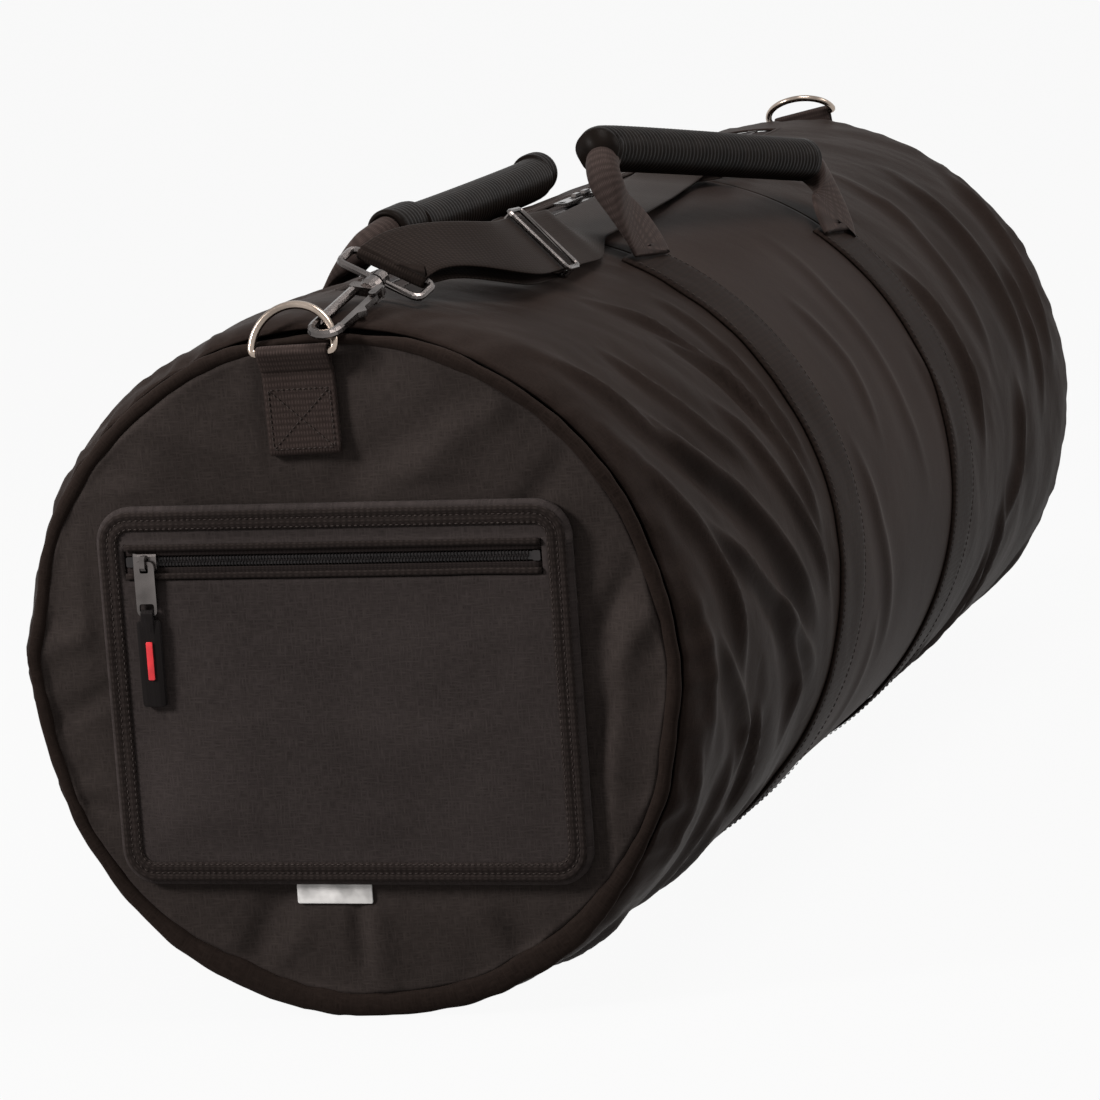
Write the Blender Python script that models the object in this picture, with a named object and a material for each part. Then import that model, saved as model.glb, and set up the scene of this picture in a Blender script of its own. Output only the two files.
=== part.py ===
"""Drum hardware bag: a padded barrel holdall with a front pocket, two carry handles,
a shoulder strap on swivel hooks and a long zip on top.

The barrel lies along Y with its pocketed end at -Y, +Z is up and the floor is z = 0.
Angles round the barrel are measured from its top towards +X, the near side.
"""

from math import asin, cos, pi, radians, sin, sqrt

import bmesh
import bpy
from mathutils import Matrix, Vector

MM = 0.001

# Barrel
BARREL_LENGTH = 914 * MM
BARREL_RADIUS = 177.5 * MM
AXIS_SINK = 5.5 * MM
AXIS_HEIGHT = BARREL_RADIUS - AXIS_SINK
SHELL_WALL = 2.5 * MM
LINING_WALL = 4 * MM
FRONT_SEAM_DROP = 13.5 * MM
FRONT_SEAM_RADIUS = BARREL_RADIUS - FRONT_SEAM_DROP
FRONT_SHOULDER = 40 * MM
REAR_SEAM_DROP = 9.5 * MM
REAR_SEAM_RADIUS = BARREL_RADIUS - REAR_SEAM_DROP
REAR_SHOULDER = 14 * MM
PIPING_DIAMETER = 5 * MM
END_LINING_SETBACK = 3 * MM
GAP = 0.3 * MM
LINING_CLEARANCE = 0.7 * MM
BARREL_SIDES = 48
SHOULDER_STEPS = 3

# Webbing bands round the barrel
BAND_WIDTH = 50 * MM
BAND_THICKNESS = 2 * MM
FRONT_BAND_Y = -152 * MM
REAR_BAND_Y = 119 * MM
BAND_TAIL = 8 * MM
BAND_RAMP = 1 * MM

# Handles
NEAR_FRONT_FOOT = radians(27)
NEAR_REAR_FOOT = radians(40)
FAR_FRONT_FOOT = radians(-31)
FAR_REAR_FOOT = radians(-30)
NEAR_REST_TILT = radians(-24)
FAR_REST_TILT = radians(55)
FOOT_LIFT = 0.6 * MM
# Outlines in millimetres from a foot: outwards along the handle, up, and sideways off the barrel
NEAR_FRONT_LEG = ((0, 0, 0), (0, 5, 0), (4, 15, 0), (12, 28, 0), (15, 40, 0), (10, 51, 0), (-2, 58, 0),
                  (-17, 61, 0))
NEAR_REAR_LEG = ((0, 0, 0), (0, 5, 0), (6, 13, 0), (9, 25, 0), (6, 35, 0), (-3, 42, 0), (-12, 45, 0),
                 (-24, 46, 0))
FAR_FRONT_LEG = ((0, 0, 0), (0, 5, 0), (8, 13, 0.6), (18, 21, 2.8), (24, 29, 2.8), (20, 37, 2.8),
                 (8, 42, 3.2), (-8, 43, 3.2), (-26, 43, 3.2), (-44, 43, 0.4))
FAR_REAR_LEG = ((0, 0, 0), (0, 5, 0), (6, 13, 0.6), (9, 23, 2.8), (6, 33, 2.8), (-3, 40, 2.8),
                (-12, 43, 3.2), (-26, 43, 3.2), (-44, 43, 0.4))
LEG_WIDTH = 44 * MM
LEG_THICKNESS = 3.5 * MM
LEG_ROLL_RISE = 34 * MM
ROLL_DIAMETER = 18 * MM
GRIP_DIAMETER = 25 * MM
GRIP_RIB_DEPTH = 1.3 * MM
GRIP_RIB_PITCH = 12 * MM
GRIP_END_LIP = 5 * MM
GRIP_LIP_SHARES = (0.3, 0.8)
GRIP_SIDES = 12

# Main zip on top of the barrel
ZIP_SLOT_WIDTH = 30 * MM
ZIP_FRONT_MARGIN = 85 * MM
ZIP_REAR_MARGIN = 73 * MM
ZIP_FRONT_Y = ZIP_FRONT_MARGIN - BARREL_LENGTH / 2
ZIP_REAR_Y = BARREL_LENGTH / 2 - ZIP_REAR_MARGIN
ZIP_MEET_Y = 0 * MM
MAIN_CHAIN_WIDTH = 6.4 * MM
MAIN_SLIDER_LENGTH = 17 * MM
MAIN_PULL_LENGTH = 34 * MM

# Front pocket
POCKET_WIDTH = 243 * MM
POCKET_HEIGHT = 189 * MM
POCKET_CORNER = 18 * MM
POCKET_CENTRE_X = -3 * MM
POCKET_CENTRE_Z = -9.8 * MM
POCKET_ROLL = radians(-1.6)
POCKET_DEPTH = 5 * MM
POCKET_WALL = 2 * MM
BORDER_WIDTH = 14 * MM
BORDER_THICKNESS = 1.4 * MM
POCKET_ZIP_DROP = 27 * MM
POCKET_ZIP_END = 14.5 * MM
POCKET_ZIP_LENGTH = POCKET_WIDTH - 2 * POCKET_ZIP_END
POCKET_SLOT_WIDTH = 18 * MM
POCKET_CHAIN_WIDTH = 5 * MM
POCKET_SLIDER_LENGTH = 12 * MM
POCKET_PULL_LENGTH = 27 * MM
PULLER_LENGTH = 46 * MM
PULLER_WIDTH = 12 * MM
TAG_WIDTH = 39 * MM
TAG_HEIGHT = 10 * MM
TAG_THICKNESS = 0.9 * MM
TAG_OFFSET = -13 * MM

# End tabs and D-rings
TAB_WIDTH = 36.5 * MM
TAB_THICKNESS = 3.2 * MM
TAB_LENGTH = 50 * MM
TAB_LIFT = 1.8 * MM
FRONT_RING_DROP = 5 * MM
REAR_RING_RISE = 8.5 * MM
FRONT_RING_HEIGHT = FRONT_SEAM_RADIUS - FRONT_RING_DROP
REAR_RING_HEIGHT = REAR_SEAM_RADIUS + REAR_RING_RISE
FRONT_TAB_X = -9 * MM
REAR_TAB_X = 12.5 * MM
REAR_TAB_ROLL = radians(-10)
RING_WIDTH = 42.5 * MM
RING_HEIGHT = 23.5 * MM
RING_CORNER = 2.4 * MM
RING_WIRE = 4 * MM
FRONT_RING_TILT = radians(20)
REAR_RING_TILT = radians(55)

# Shoulder strap
STRAP_WIDTH = 38 * MM
STRAP_THICKNESS = 1.6 * MM
SEWN_END_LENGTH = 28 * MM
ADJUSTER_LENGTH = 24 * MM
ADJUSTER_WIRE = 2.8 * MM
ADJUSTER_TILT = radians(47)

# Swivel hooks
HOOK_WIRE = 5 * MM
HOOK_WIDTH = 19 * MM
HOOK_REACH = 55 * MM
EYE_WIRE = 4 * MM
EYE_DEPTH = 14 * MM

SHORT_OVERRUN = 2 * MM


def remove_old_objects():
    for old in list(bpy.data.objects):
        bpy.data.objects.remove(old, do_unlink=True)


def material(name, colour, roughness, metallic=0.0):
    made = bpy.data.materials.new(name)
    made.use_nodes = True
    shader = made.node_tree.nodes["Principled BSDF"]
    shader.inputs["Base Color"].default_value = (*colour, 1.0)
    shader.inputs["Roughness"].default_value = roughness
    shader.inputs["Metallic"].default_value = metallic
    return made


def part(name, mesh, finish, parent=None, smooth=35):
    """Link a finished mesh as one sub-part, shaded smooth across its shallow edges."""
    made = bpy.data.objects.new(name, mesh)
    bpy.context.collection.objects.link(made)
    mesh.materials.clear()
    mesh.materials.append(finish)
    mesh.shade_smooth()
    mesh.set_sharp_from_angle(angle=radians(smooth))
    made.parent = parent
    return made


def frame(name, origin, x_axis, z_hint, parent=None):
    """An empty at origin whose X runs along x_axis and whose Z is nearest to z_hint."""
    x_axis = Vector(x_axis).normalized()
    y_axis = Vector(z_hint).cross(x_axis).normalized()
    z_axis = x_axis.cross(y_axis)
    made = bpy.data.objects.new(name, None)
    bpy.context.collection.objects.link(made)
    made.parent = parent
    turn = Matrix((x_axis, y_axis, z_axis)).transposed().to_4x4()
    made.matrix_basis = Matrix.Translation(origin) @ turn
    return made


def mesh_from(name, points, faces):
    """A closed mesh with its faces turned outwards."""
    mesh = bpy.data.meshes.new(name)
    mesh.from_pydata([tuple(point) for point in points], [], faces)
    shape = bmesh.new()
    shape.from_mesh(mesh)
    bmesh.ops.recalc_face_normals(shape, faces=shape.faces)
    shape.to_mesh(mesh)
    shape.free()
    return mesh


def loft(name, rings, looped=False):
    """Skin a row of equal rings: capped at both ends, or joined last to first."""
    count = len(rings[0])
    points = [point for ring in rings for point in ring]
    faces = []
    for row in range(len(rings) if looped else len(rings) - 1):
        here, there = row * count, (row + 1) % len(rings) * count
        for side in range(count):
            after = (side + 1) % count
            faces.append((here + side, here + after, there + after, there + side))
    if not looped:
        faces.append(tuple(range(count)))
        faces.append(tuple((len(rings) - 1) * count + side for side in range(count)))
    return mesh_from(name, points, faces)


def prism(name, outline, low, high):
    """A flat outline of (x, y) points raised from low to high along Z."""
    rings = [[Vector((x, y, level)) for x, y in outline] for level in (low, high)]
    return loft(name, rings)


def side_prism(name, outline, half_width):
    """An outline of (x, z) points raised evenly to both sides along Y."""
    rings = [[Vector((x, level, z)) for x, z in outline] for level in (-half_width, half_width)]
    return loft(name, rings)


def rounded_rectangle(width, height, corner, steps=4, centre=(0, 0)):
    points = []
    for turn, (sign_x, sign_y) in enumerate(((1, 1), (-1, 1), (-1, -1), (1, -1))):
        for step in range(steps + 1):
            angle = pi / 2 * (turn + step / steps)
            points.append((centre[0] + sign_x * (width / 2 - corner) + corner * cos(angle),
                           centre[1] + sign_y * (height / 2 - corner) + corner * sin(angle)))
    return points


def box_outline(x0, x1, y0, y1):
    return [(x0, y0), (x1, y0), (x1, y1), (x0, y1)]


def circle(radius, sides, centre=(0, 0)):
    return [(centre[0] + radius * cos(2 * pi * side / sides),
             centre[1] + radius * sin(2 * pi * side / sides)) for side in range(sides)]


def tube_rings(points, radius, sides, looped=False, wide=1.0):
    """Rings square to a path, carried along it without twist."""
    rings = []
    last = len(points) - 1
    side_way = None
    for index, point in enumerate(points):
        if looped:
            ahead, behind = points[(index + 1) % len(points)], points[index - 1]
        else:
            ahead, behind = points[min(index + 1, last)], points[max(index - 1, 0)]
        along = (ahead - behind).normalized()
        if side_way is None:
            side_way = along.orthogonal()
        side_way = (side_way - along * side_way.dot(along)).normalized()
        up_way = along.cross(side_way)
        rings.append([point + radius * (cos(2 * pi * side / sides) * side_way * wide
                                        + sin(2 * pi * side / sides) * up_way)
                      for side in range(sides)])
    return rings


def tube(name, points, radius, sides=8, looped=False):
    points = [Vector(point) for point in points]
    return loft(name, tube_rings(points, radius, sides, looped), looped)


def arc_points(centre, radius, start, end, steps):
    """Points in the XY plane on an arc, from one angle to another."""
    return [Vector((centre[0] + radius * cos(start + (end - start) * step / steps),
                    centre[1] + radius * sin(start + (end - start) * step / steps), 0))
            for step in range(steps + 1)]


def hidden_tool(name, mesh, parent=None):
    tool = bpy.data.objects.new(name, mesh)
    bpy.context.collection.objects.link(tool)
    tool.parent = parent
    tool.hide_render = True
    tool.display_type = "WIRE"
    return tool


def combine(target, tool, operation):
    modifier = target.modifiers.new(tool.name, "BOOLEAN")
    modifier.operation = operation
    modifier.object = tool
    modifier.solver = "EXACT"


# Barrel

def shoulder_profile(seam, shoulder):
    """Depths from an end and their radii, down a quarter ellipse from seam to full radius."""
    profile = []
    for step in range(SHOULDER_STEPS + 1):
        depth_share = (step / SHOULDER_STEPS) ** 2
        rise_share = sqrt(1 - (1 - depth_share) ** 2)
        profile.append((shoulder * depth_share, seam + (BARREL_RADIUS - seam) * rise_share))
    return profile


def barrel_ends():
    """Each end's Y, its way inwards and its shoulder profile."""
    half = BARREL_LENGTH / 2
    return ((-half, 1, shoulder_profile(FRONT_SEAM_RADIUS, FRONT_SHOULDER)),
            (half, -1, shoulder_profile(REAR_SEAM_RADIUS, REAR_SHOULDER)))


def barrel_radius(y):
    """Outer radius of the barrel: full along its length, rounded in at both ends."""
    for edge, way, profile in barrel_ends():
        depth = (y - edge) * way
        for (near, small), (far, large) in zip(profile, profile[1:]):
            if near <= depth < far:
                return small + (large - small) * (depth - near) / (far - near)
    return BARREL_RADIUS


def shoulder_places(start, end):
    """Y places for a stretch of barrel, closer together on the rounded shoulders."""
    places = {start, end}
    for edge, way, profile in barrel_ends():
        for depth, radius in profile:
            if start < edge + way * depth < end:
                places.add(edge + way * depth)
    return sorted(places)


def barrel_ring(y, radius, floor):
    """A ring round the barrel's axis, flattened where the barrel rests."""
    ring = []
    for side in range(BARREL_SIDES):
        angle = 2 * pi * side / BARREL_SIDES
        ring.append(Vector((radius * sin(angle), y, max(AXIS_HEIGHT + radius * cos(angle), floor))))
    return ring


def barrel_tube(name, stations, inset, wall):
    """A hollow length of barrel from stations of (y, floor under the outer face)."""
    outer = [barrel_ring(y, barrel_radius(y) - inset, floor) for y, floor in stations]
    inner = [barrel_ring(y, barrel_radius(y) - inset - wall, floor + wall) for y, floor in stations]
    return loft(name, outer + inner[::-1], looped=True)


def shell_stations(start, end, band_y):
    """Stations of one sewn length, raised off the floor where a band passes under it."""
    under_band = BAND_THICKNESS + GAP
    near_edge, far_edge = band_y - BAND_WIDTH / 2 - GAP, band_y + BAND_WIDTH / 2 + GAP
    stations = []
    for y in shoulder_places(start, end):
        raised = near_edge <= y <= far_edge
        stations.append((y, under_band if raised else 0))
    for edge, way in ((near_edge, -1), (far_edge, 1)):
        if start < edge < end:
            stations.append((edge, under_band))
            stations.append((edge + way * BAND_RAMP, 0))
    return sorted(stations)


def facet_angles(start, end):
    """The start and end angles with every corner of the barrel's facets between them."""
    step = 2 * pi / BARREL_SIDES
    first, last = int(start // step) + 1, int(end // step)
    inner = [step * index for index in range(first, last + 1)]
    return [start] + [angle for angle in inner if start < angle < end] + [end]


def arc_strip(name, y0, y1, inner, outer, angles, floor=None):
    """A strip bent round the barrel's axis through a row of angles."""
    rings = []
    for angle in angles:
        ring = []
        for y, radius, lift in ((y0, inner, outer - inner), (y1, inner, outer - inner),
                                (y1, outer, 0), (y0, outer, 0)):
            z = AXIS_HEIGHT + radius * cos(angle)
            if floor is not None:
                z = max(z, floor + lift)
            ring.append(Vector((radius * sin(angle), y, z)))
        rings.append(ring)
    return loft(name, rings)


def build_barrel(finish):
    half = BARREL_LENGTH / 2
    edge = PIPING_DIAMETER / 2 + SHELL_WALL / 2
    spans = {
        "front_shell": (-half + edge, FRONT_BAND_Y - GAP / 2, FRONT_BAND_Y, finish["creased"]),
        "rear_shell": (REAR_BAND_Y + GAP / 2, half - edge, REAR_BAND_Y, finish["creased"]),
    }
    slot_outline = box_outline(-ZIP_SLOT_WIDTH / 2, ZIP_SLOT_WIDTH / 2, ZIP_FRONT_Y, ZIP_REAR_Y)
    slot = prism("zip_slot", slot_outline, AXIS_HEIGHT, AXIS_HEIGHT + BARREL_RADIUS + SHORT_OVERRUN)
    slot = hidden_tool("zip_slot", slot)
    for name, (start, end, band_y, cloth) in spans.items():
        shell = part(name, barrel_tube(name, shell_stations(start, end, band_y), 0, SHELL_WALL), cloth)
        combine(shell, slot, "DIFFERENCE")

    start, end = FRONT_BAND_Y + GAP / 2, REAR_BAND_Y - GAP / 2
    under_band = BAND_THICKNESS + GAP
    front_edge = FRONT_BAND_Y + BAND_WIDTH / 2 + GAP
    rear_edge = REAR_BAND_Y - BAND_WIDTH / 2 - GAP
    stations = [(start, under_band), (front_edge, under_band), (front_edge + BAND_RAMP, 0),
                (rear_edge - BAND_RAMP, 0), (rear_edge, under_band), (end, under_band)]
    middle = part("middle_shell", barrel_tube("middle_shell", stations, 0, SHELL_WALL), finish["smooth"])
    combine(middle, slot, "DIFFERENCE")

    inset = SHELL_WALL + LINING_CLEARANCE
    setback = SHELL_WALL + END_LINING_SETBACK + LINING_WALL + GAP
    stations = [(y, lining_floor()) for y in shoulder_places(-half + setback, half - setback)]
    lining = part("barrel_lining", barrel_tube("barrel_lining", stations, inset, LINING_WALL), finish["lining"])
    combine(lining, slot, "DIFFERENCE")

    for name, angles, band_y in (("front_band", (NEAR_FRONT_FOOT, FAR_FRONT_FOOT), FRONT_BAND_Y),
                                 ("rear_band", (NEAR_REAR_FOOT, FAR_REAR_FOOT), REAR_BAND_Y)):
        tail = BAND_TAIL / BARREL_RADIUS
        strip = arc_strip(name, band_y - BAND_WIDTH / 2, band_y + BAND_WIDTH / 2,
                          BARREL_RADIUS + GAP, BARREL_RADIUS + GAP + BAND_THICKNESS,
                          facet_angles(angles[0] - tail, angles[1] + tail + 2 * pi), floor=0)
        part(name, strip, finish["webbing"])


def build_ends(finish):
    half = BARREL_LENGTH / 2
    for name, way, seam in (("front", -1, FRONT_SEAM_RADIUS), ("rear", 1, REAR_SEAM_RADIUS)):
        face = way * half
        panel_radius = seam - PIPING_DIAMETER / 2 - GAP
        rings = [barrel_ring(face - way * depth, panel_radius, 0) for depth in (0, SHELL_WALL)]
        part(name + "_panel", loft(name + "_panel", rings), finish["panel"])

        cord = [Vector((seam * sin(2 * pi * side / BARREL_SIDES), face - way * PIPING_DIAMETER / 4,
                        AXIS_HEIGHT + seam * cos(2 * pi * side / BARREL_SIDES)))
                for side in range(BARREL_SIDES)]
        part(name + "_piping", tube(name + "_piping", cord, PIPING_DIAMETER / 2, 6, looped=True),
             finish["piping"], smooth=80)

        inner = face - way * (SHELL_WALL + END_LINING_SETBACK)
        lining_radius = barrel_radius(inner) - SHELL_WALL - 2 * LINING_CLEARANCE
        rings = [barrel_ring(inner - way * depth, lining_radius, lining_floor())
                 for depth in (0, LINING_WALL)]
        part(name + "_lining", loft(name + "_lining", rings), finish["lining"])


def lining_floor():
    return BAND_THICKNESS + GAP + SHELL_WALL + LINING_CLEARANCE


# Zips: every zip is a chain, two tapes, stops and a slider with its pull

ZIP_TAPE_THICKNESS = 1.0 * MM
CHAIN_HEIGHT = 2.4 * MM
PLATE_THICKNESS = 1.1 * MM
SLIDER_CLEARANCE = 0.45 * MM
WEDGE_WIDTH = 1.6 * MM
BRIDGE_WIDTH = 2.6 * MM
BRIDGE_BAR = 1.5 * MM
BRIDGE_OPENING = 2.6 * MM
PULL_THICKNESS = 1.5 * MM
PULL_BAR = 1.5 * MM
END_BAR = 1.7 * MM
CHAIN_RIDGE = 0.5 * MM
MOUTH_FLARE_SHARE = 1.12
BRIDGE_ALONG_SHARE = 0.36
BRIDGE_ACROSS_SHARE = 0.9
BRIDGE_CORNER_SHARE = 1.4


def chain_outline(width):
    """Section of a closed coil chain: two rounded ridges with a dip where they mesh."""
    half, tall = width / 2, CHAIN_HEIGHT / 2
    return [(-half, -tall / 2), (-half / 2, -tall), (half / 2, -tall), (half, -tall / 2),
            (half, tall / 2), (half / 2, tall), (0, tall - CHAIN_RIDGE), (-half / 2, tall),
            (-half, tall / 2)]


def chain(name, width, start, end):
    """A closed chain along X from start to end, centred on the tape."""
    rings = [[Vector((x, y, z)) for y, z in chain_outline(width)] for x in (start, end)]
    return loft(name, rings)


def slider_body(name, chain_width, length, finish, parent, turned=False):
    """A zip slider with plates above and below the chain, a wedge and a bridge for the pull."""
    inner = chain_width / 2 + SLIDER_CLEARANCE
    outer = inner + PLATE_THICKNESS
    deck = CHAIN_HEIGHT / 2 + SLIDER_CLEARANCE
    lip = ZIP_TAPE_THICKNESS / 2 + SLIDER_CLEARANCE
    half = length / 2
    top_outline = [(-outer, lip), (-outer, deck + PLATE_THICKNESS / 2), (-inner, deck + PLATE_THICKNESS),
                   (inner, deck + PLATE_THICKNESS), (outer, deck + PLATE_THICKNESS / 2), (outer, lip),
                   (inner, lip), (inner, deck), (-inner, deck), (-inner, lip)]
    flares = ((-half, 1), (half - PLATE_THICKNESS * 2, 1), (half, MOUTH_FLARE_SHARE))
    rings = [[Vector((x, y * share, z)) for y, z in top_outline] for x, share in flares]
    body = part(name, loft(name, rings), finish, parent, smooth=30)
    rings = [[Vector((x, y * share, -z)) for y, z in top_outline] for x, share in flares]
    bottom = hidden_tool(name + "_lower_plate", loft(name + "_lower_plate", rings), parent)
    combine(body, bottom, "UNION")
    wedge_start = half - length / 4
    wedge = prism(name + "_wedge", [(wedge_start, -WEDGE_WIDTH / 4), (half, -WEDGE_WIDTH / 2),
                                    (half, WEDGE_WIDTH / 2), (wedge_start, WEDGE_WIDTH / 4)],
                  -deck - PLATE_THICKNESS / 2, deck + PLATE_THICKNESS / 2)
    combine(body, hidden_tool(name + "_wedge", wedge, parent), "UNION")
    base = deck + PLATE_THICKNESS / 2
    span = outer * BRIDGE_ACROSS_SHARE if turned else length * BRIDGE_ALONG_SHARE
    rise = PLATE_THICKNESS / 2 + BRIDGE_OPENING
    corner = BRIDGE_BAR * BRIDGE_CORNER_SHARE
    arch = [(-span, base), (-span, base + rise), (-span + BRIDGE_BAR, base + rise + BRIDGE_BAR),
            (span - BRIDGE_BAR, base + rise + BRIDGE_BAR), (span, base + rise), (span, base),
            (span - BRIDGE_BAR, base), (span - BRIDGE_BAR, base + rise - BRIDGE_BAR / 3),
            (span - corner, base + rise), (-span + corner, base + rise),
            (-span + BRIDGE_BAR, base + rise - BRIDGE_BAR / 3), (-span + BRIDGE_BAR, base)]
    bridge = side_prism(name + "_bridge", arch, BRIDGE_WIDTH / 2)
    bridge = hidden_tool(name + "_bridge", bridge, parent)
    if turned:
        bridge.rotation_euler.z = pi / 2
    combine(body, bridge, "UNION")
    return body


def bridge_height():
    """Height of the pull's bar over the chain's middle: the middle of the bridge's opening."""
    return CHAIN_HEIGHT / 2 + SLIDER_CLEARANCE + PLATE_THICKNESS + BRIDGE_OPENING / 2


def pull_tab(name, length, width, hole_length, finish, parent, end_hole):
    """A flat pull along +X whose bar lies on the frame's Y axis, inside the bridge."""
    corner = width / 4
    outline = rounded_rectangle(length, width, corner, 3, (length / 2 - PULL_BAR / 2, 0))
    tab = part(name, prism(name, outline, -PULL_THICKNESS / 2, PULL_THICKNESS / 2), finish, parent, smooth=30)
    hole_width = BRIDGE_WIDTH + 4 * SLIDER_CLEARANCE
    hole = rounded_rectangle(hole_length, hole_width, hole_width / 6, 2,
                             (PULL_BAR / 2 + hole_length / 2, 0))
    combine(tab, hidden_tool(name + "_bridge_hole", prism(name + "_bridge_hole", hole, -PULL_THICKNESS,
                                                          PULL_THICKNESS), parent), "DIFFERENCE")
    if end_hole:
        hole = rounded_rectangle(end_hole[0], end_hole[1], end_hole[0] / 4, 2,
                                 (length - PULL_BAR / 2 - END_BAR - end_hole[0] / 2, 0))
        combine(tab, hidden_tool(name + "_end_hole", prism(name + "_end_hole", hole, -PULL_THICKNESS,
                                                           PULL_THICKNESS), parent), "DIFFERENCE")
    return tab


MAIN_PULL_WIDTH = 8.5 * MM
MAIN_PULL_HOLE = 8 * MM
MAIN_PULL_END_HOLE = (7 * MM, 4 * MM)
STOP_LENGTH = 4 * MM
CHAIN_IN_SLIDER_SHARE = 0.7
ZIP_TAPE_SINK = 1.2 * MM


def build_main_zip(finish):
    tape_top = BARREL_RADIUS - ZIP_TAPE_SINK
    slot_edge = ZIP_SLOT_WIDTH / 2 - GAP
    inner_edge = MAIN_CHAIN_WIDTH / 2 + GAP
    for name, way in (("main_zip_tape_near", 1), ("main_zip_tape_far", -1)):
        strip = arc_strip(name, ZIP_FRONT_Y + 2 * GAP, ZIP_REAR_Y - 2 * GAP,
                          tape_top - ZIP_TAPE_THICKNESS, tape_top,
                          [way * asin(inner_edge / tape_top), way * asin(slot_edge / BARREL_RADIUS)])
        part(name, strip, finish["tape"])

    line = frame("main_zip_line", (0, 0, AXIS_HEIGHT + tape_top - ZIP_TAPE_THICKNESS / 2),
                 (0, 1, 0), (0, 0, 1))
    half = MAIN_SLIDER_LENGTH / 2
    start_gap = MAIN_SLIDER_LENGTH * (1 - CHAIN_IN_SLIDER_SHARE) + GAP
    chains = {"main_chain_front": (ZIP_FRONT_Y + STOP_LENGTH + 3 * GAP, ZIP_MEET_Y - start_gap),
              "main_chain_rear": (ZIP_MEET_Y + start_gap, ZIP_REAR_Y - STOP_LENGTH - 3 * GAP)}
    for name, (start, end) in chains.items():
        part(name, chain(name, MAIN_CHAIN_WIDTH, start, end), finish["chain"], line)

    front_stop, rear_stop = ZIP_FRONT_Y + 2 * GAP, ZIP_REAR_Y - 2 * GAP
    for name, start, end in (("main_zip_stop_front", front_stop, front_stop + STOP_LENGTH),
                             ("main_zip_stop_rear", rear_stop - STOP_LENGTH, rear_stop)):
        block = rounded_rectangle(STOP_LENGTH, MAIN_CHAIN_WIDTH, STOP_LENGTH / 5, 2, ((start + end) / 2, 0))
        part(name, prism(name, block, -CHAIN_HEIGHT / 2, CHAIN_HEIGHT / 2), finish["nickel"], line)

    for end_name, way in (("front", -1), ("rear", 1)):
        seat = frame("main_slider_" + end_name + "_seat",
                     (0, ZIP_MEET_Y + way * (half + GAP / 2), line.location.z), (0, -way, 0), (0, 0, 1))
        slider_body("main_slider_" + end_name, MAIN_CHAIN_WIDTH, MAIN_SLIDER_LENGTH, finish["nickel"], seat)
        hinge = frame("main_pull_" + end_name + "_hinge",
                      (0, seat.location.y, seat.location.z + bridge_height()), (0, way, 0), (0, 0, 1))
        pull_tab("main_pull_" + end_name, MAIN_PULL_LENGTH, MAIN_PULL_WIDTH, MAIN_PULL_HOLE,
                 finish["nickel"], hinge, MAIN_PULL_END_HOLE)


# Front pocket, in a frame whose X runs to the right, Y up and Z out of the panel

WELT_WIDTH = 3.2 * MM
WELT_HEIGHT = 1.6 * MM
WELT_EDGE_SHARE = 0.6
CHAMFER_SHARE = 0.8
PULL_TAB_WIDTH = 10.5 * MM
PULL_TAB_HOLE = 4.2 * MM
PULL_END_HOLE = (4.4 * MM, 7.6 * MM)
PULLER_NECK = 6.4 * MM
PULLER_NECK_LENGTH = 10 * MM
PULLER_THICKNESS = 2.6 * MM
PULLER_LOOP_WALL = 1.0 * MM
PULLER_SLACK = 0.45 * MM
LOOP_BACK_SHARE = 0.8
LOOP_TURN_SHARE = 0.6
STRIPE_WIDTH = 3.4 * MM
STRIPE_LENGTH = 19 * MM
STRIPE_THICKNESS = 0.6 * MM


def frame_of_pocket():
    half = BARREL_LENGTH / 2
    x_axis = (cos(POCKET_ROLL), 0, sin(POCKET_ROLL))
    place = (POCKET_CENTRE_X, -half - GAP, AXIS_HEIGHT + POCKET_CENTRE_Z)
    return frame("pocket_frame", place, x_axis, (0, -1, 0))


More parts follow.
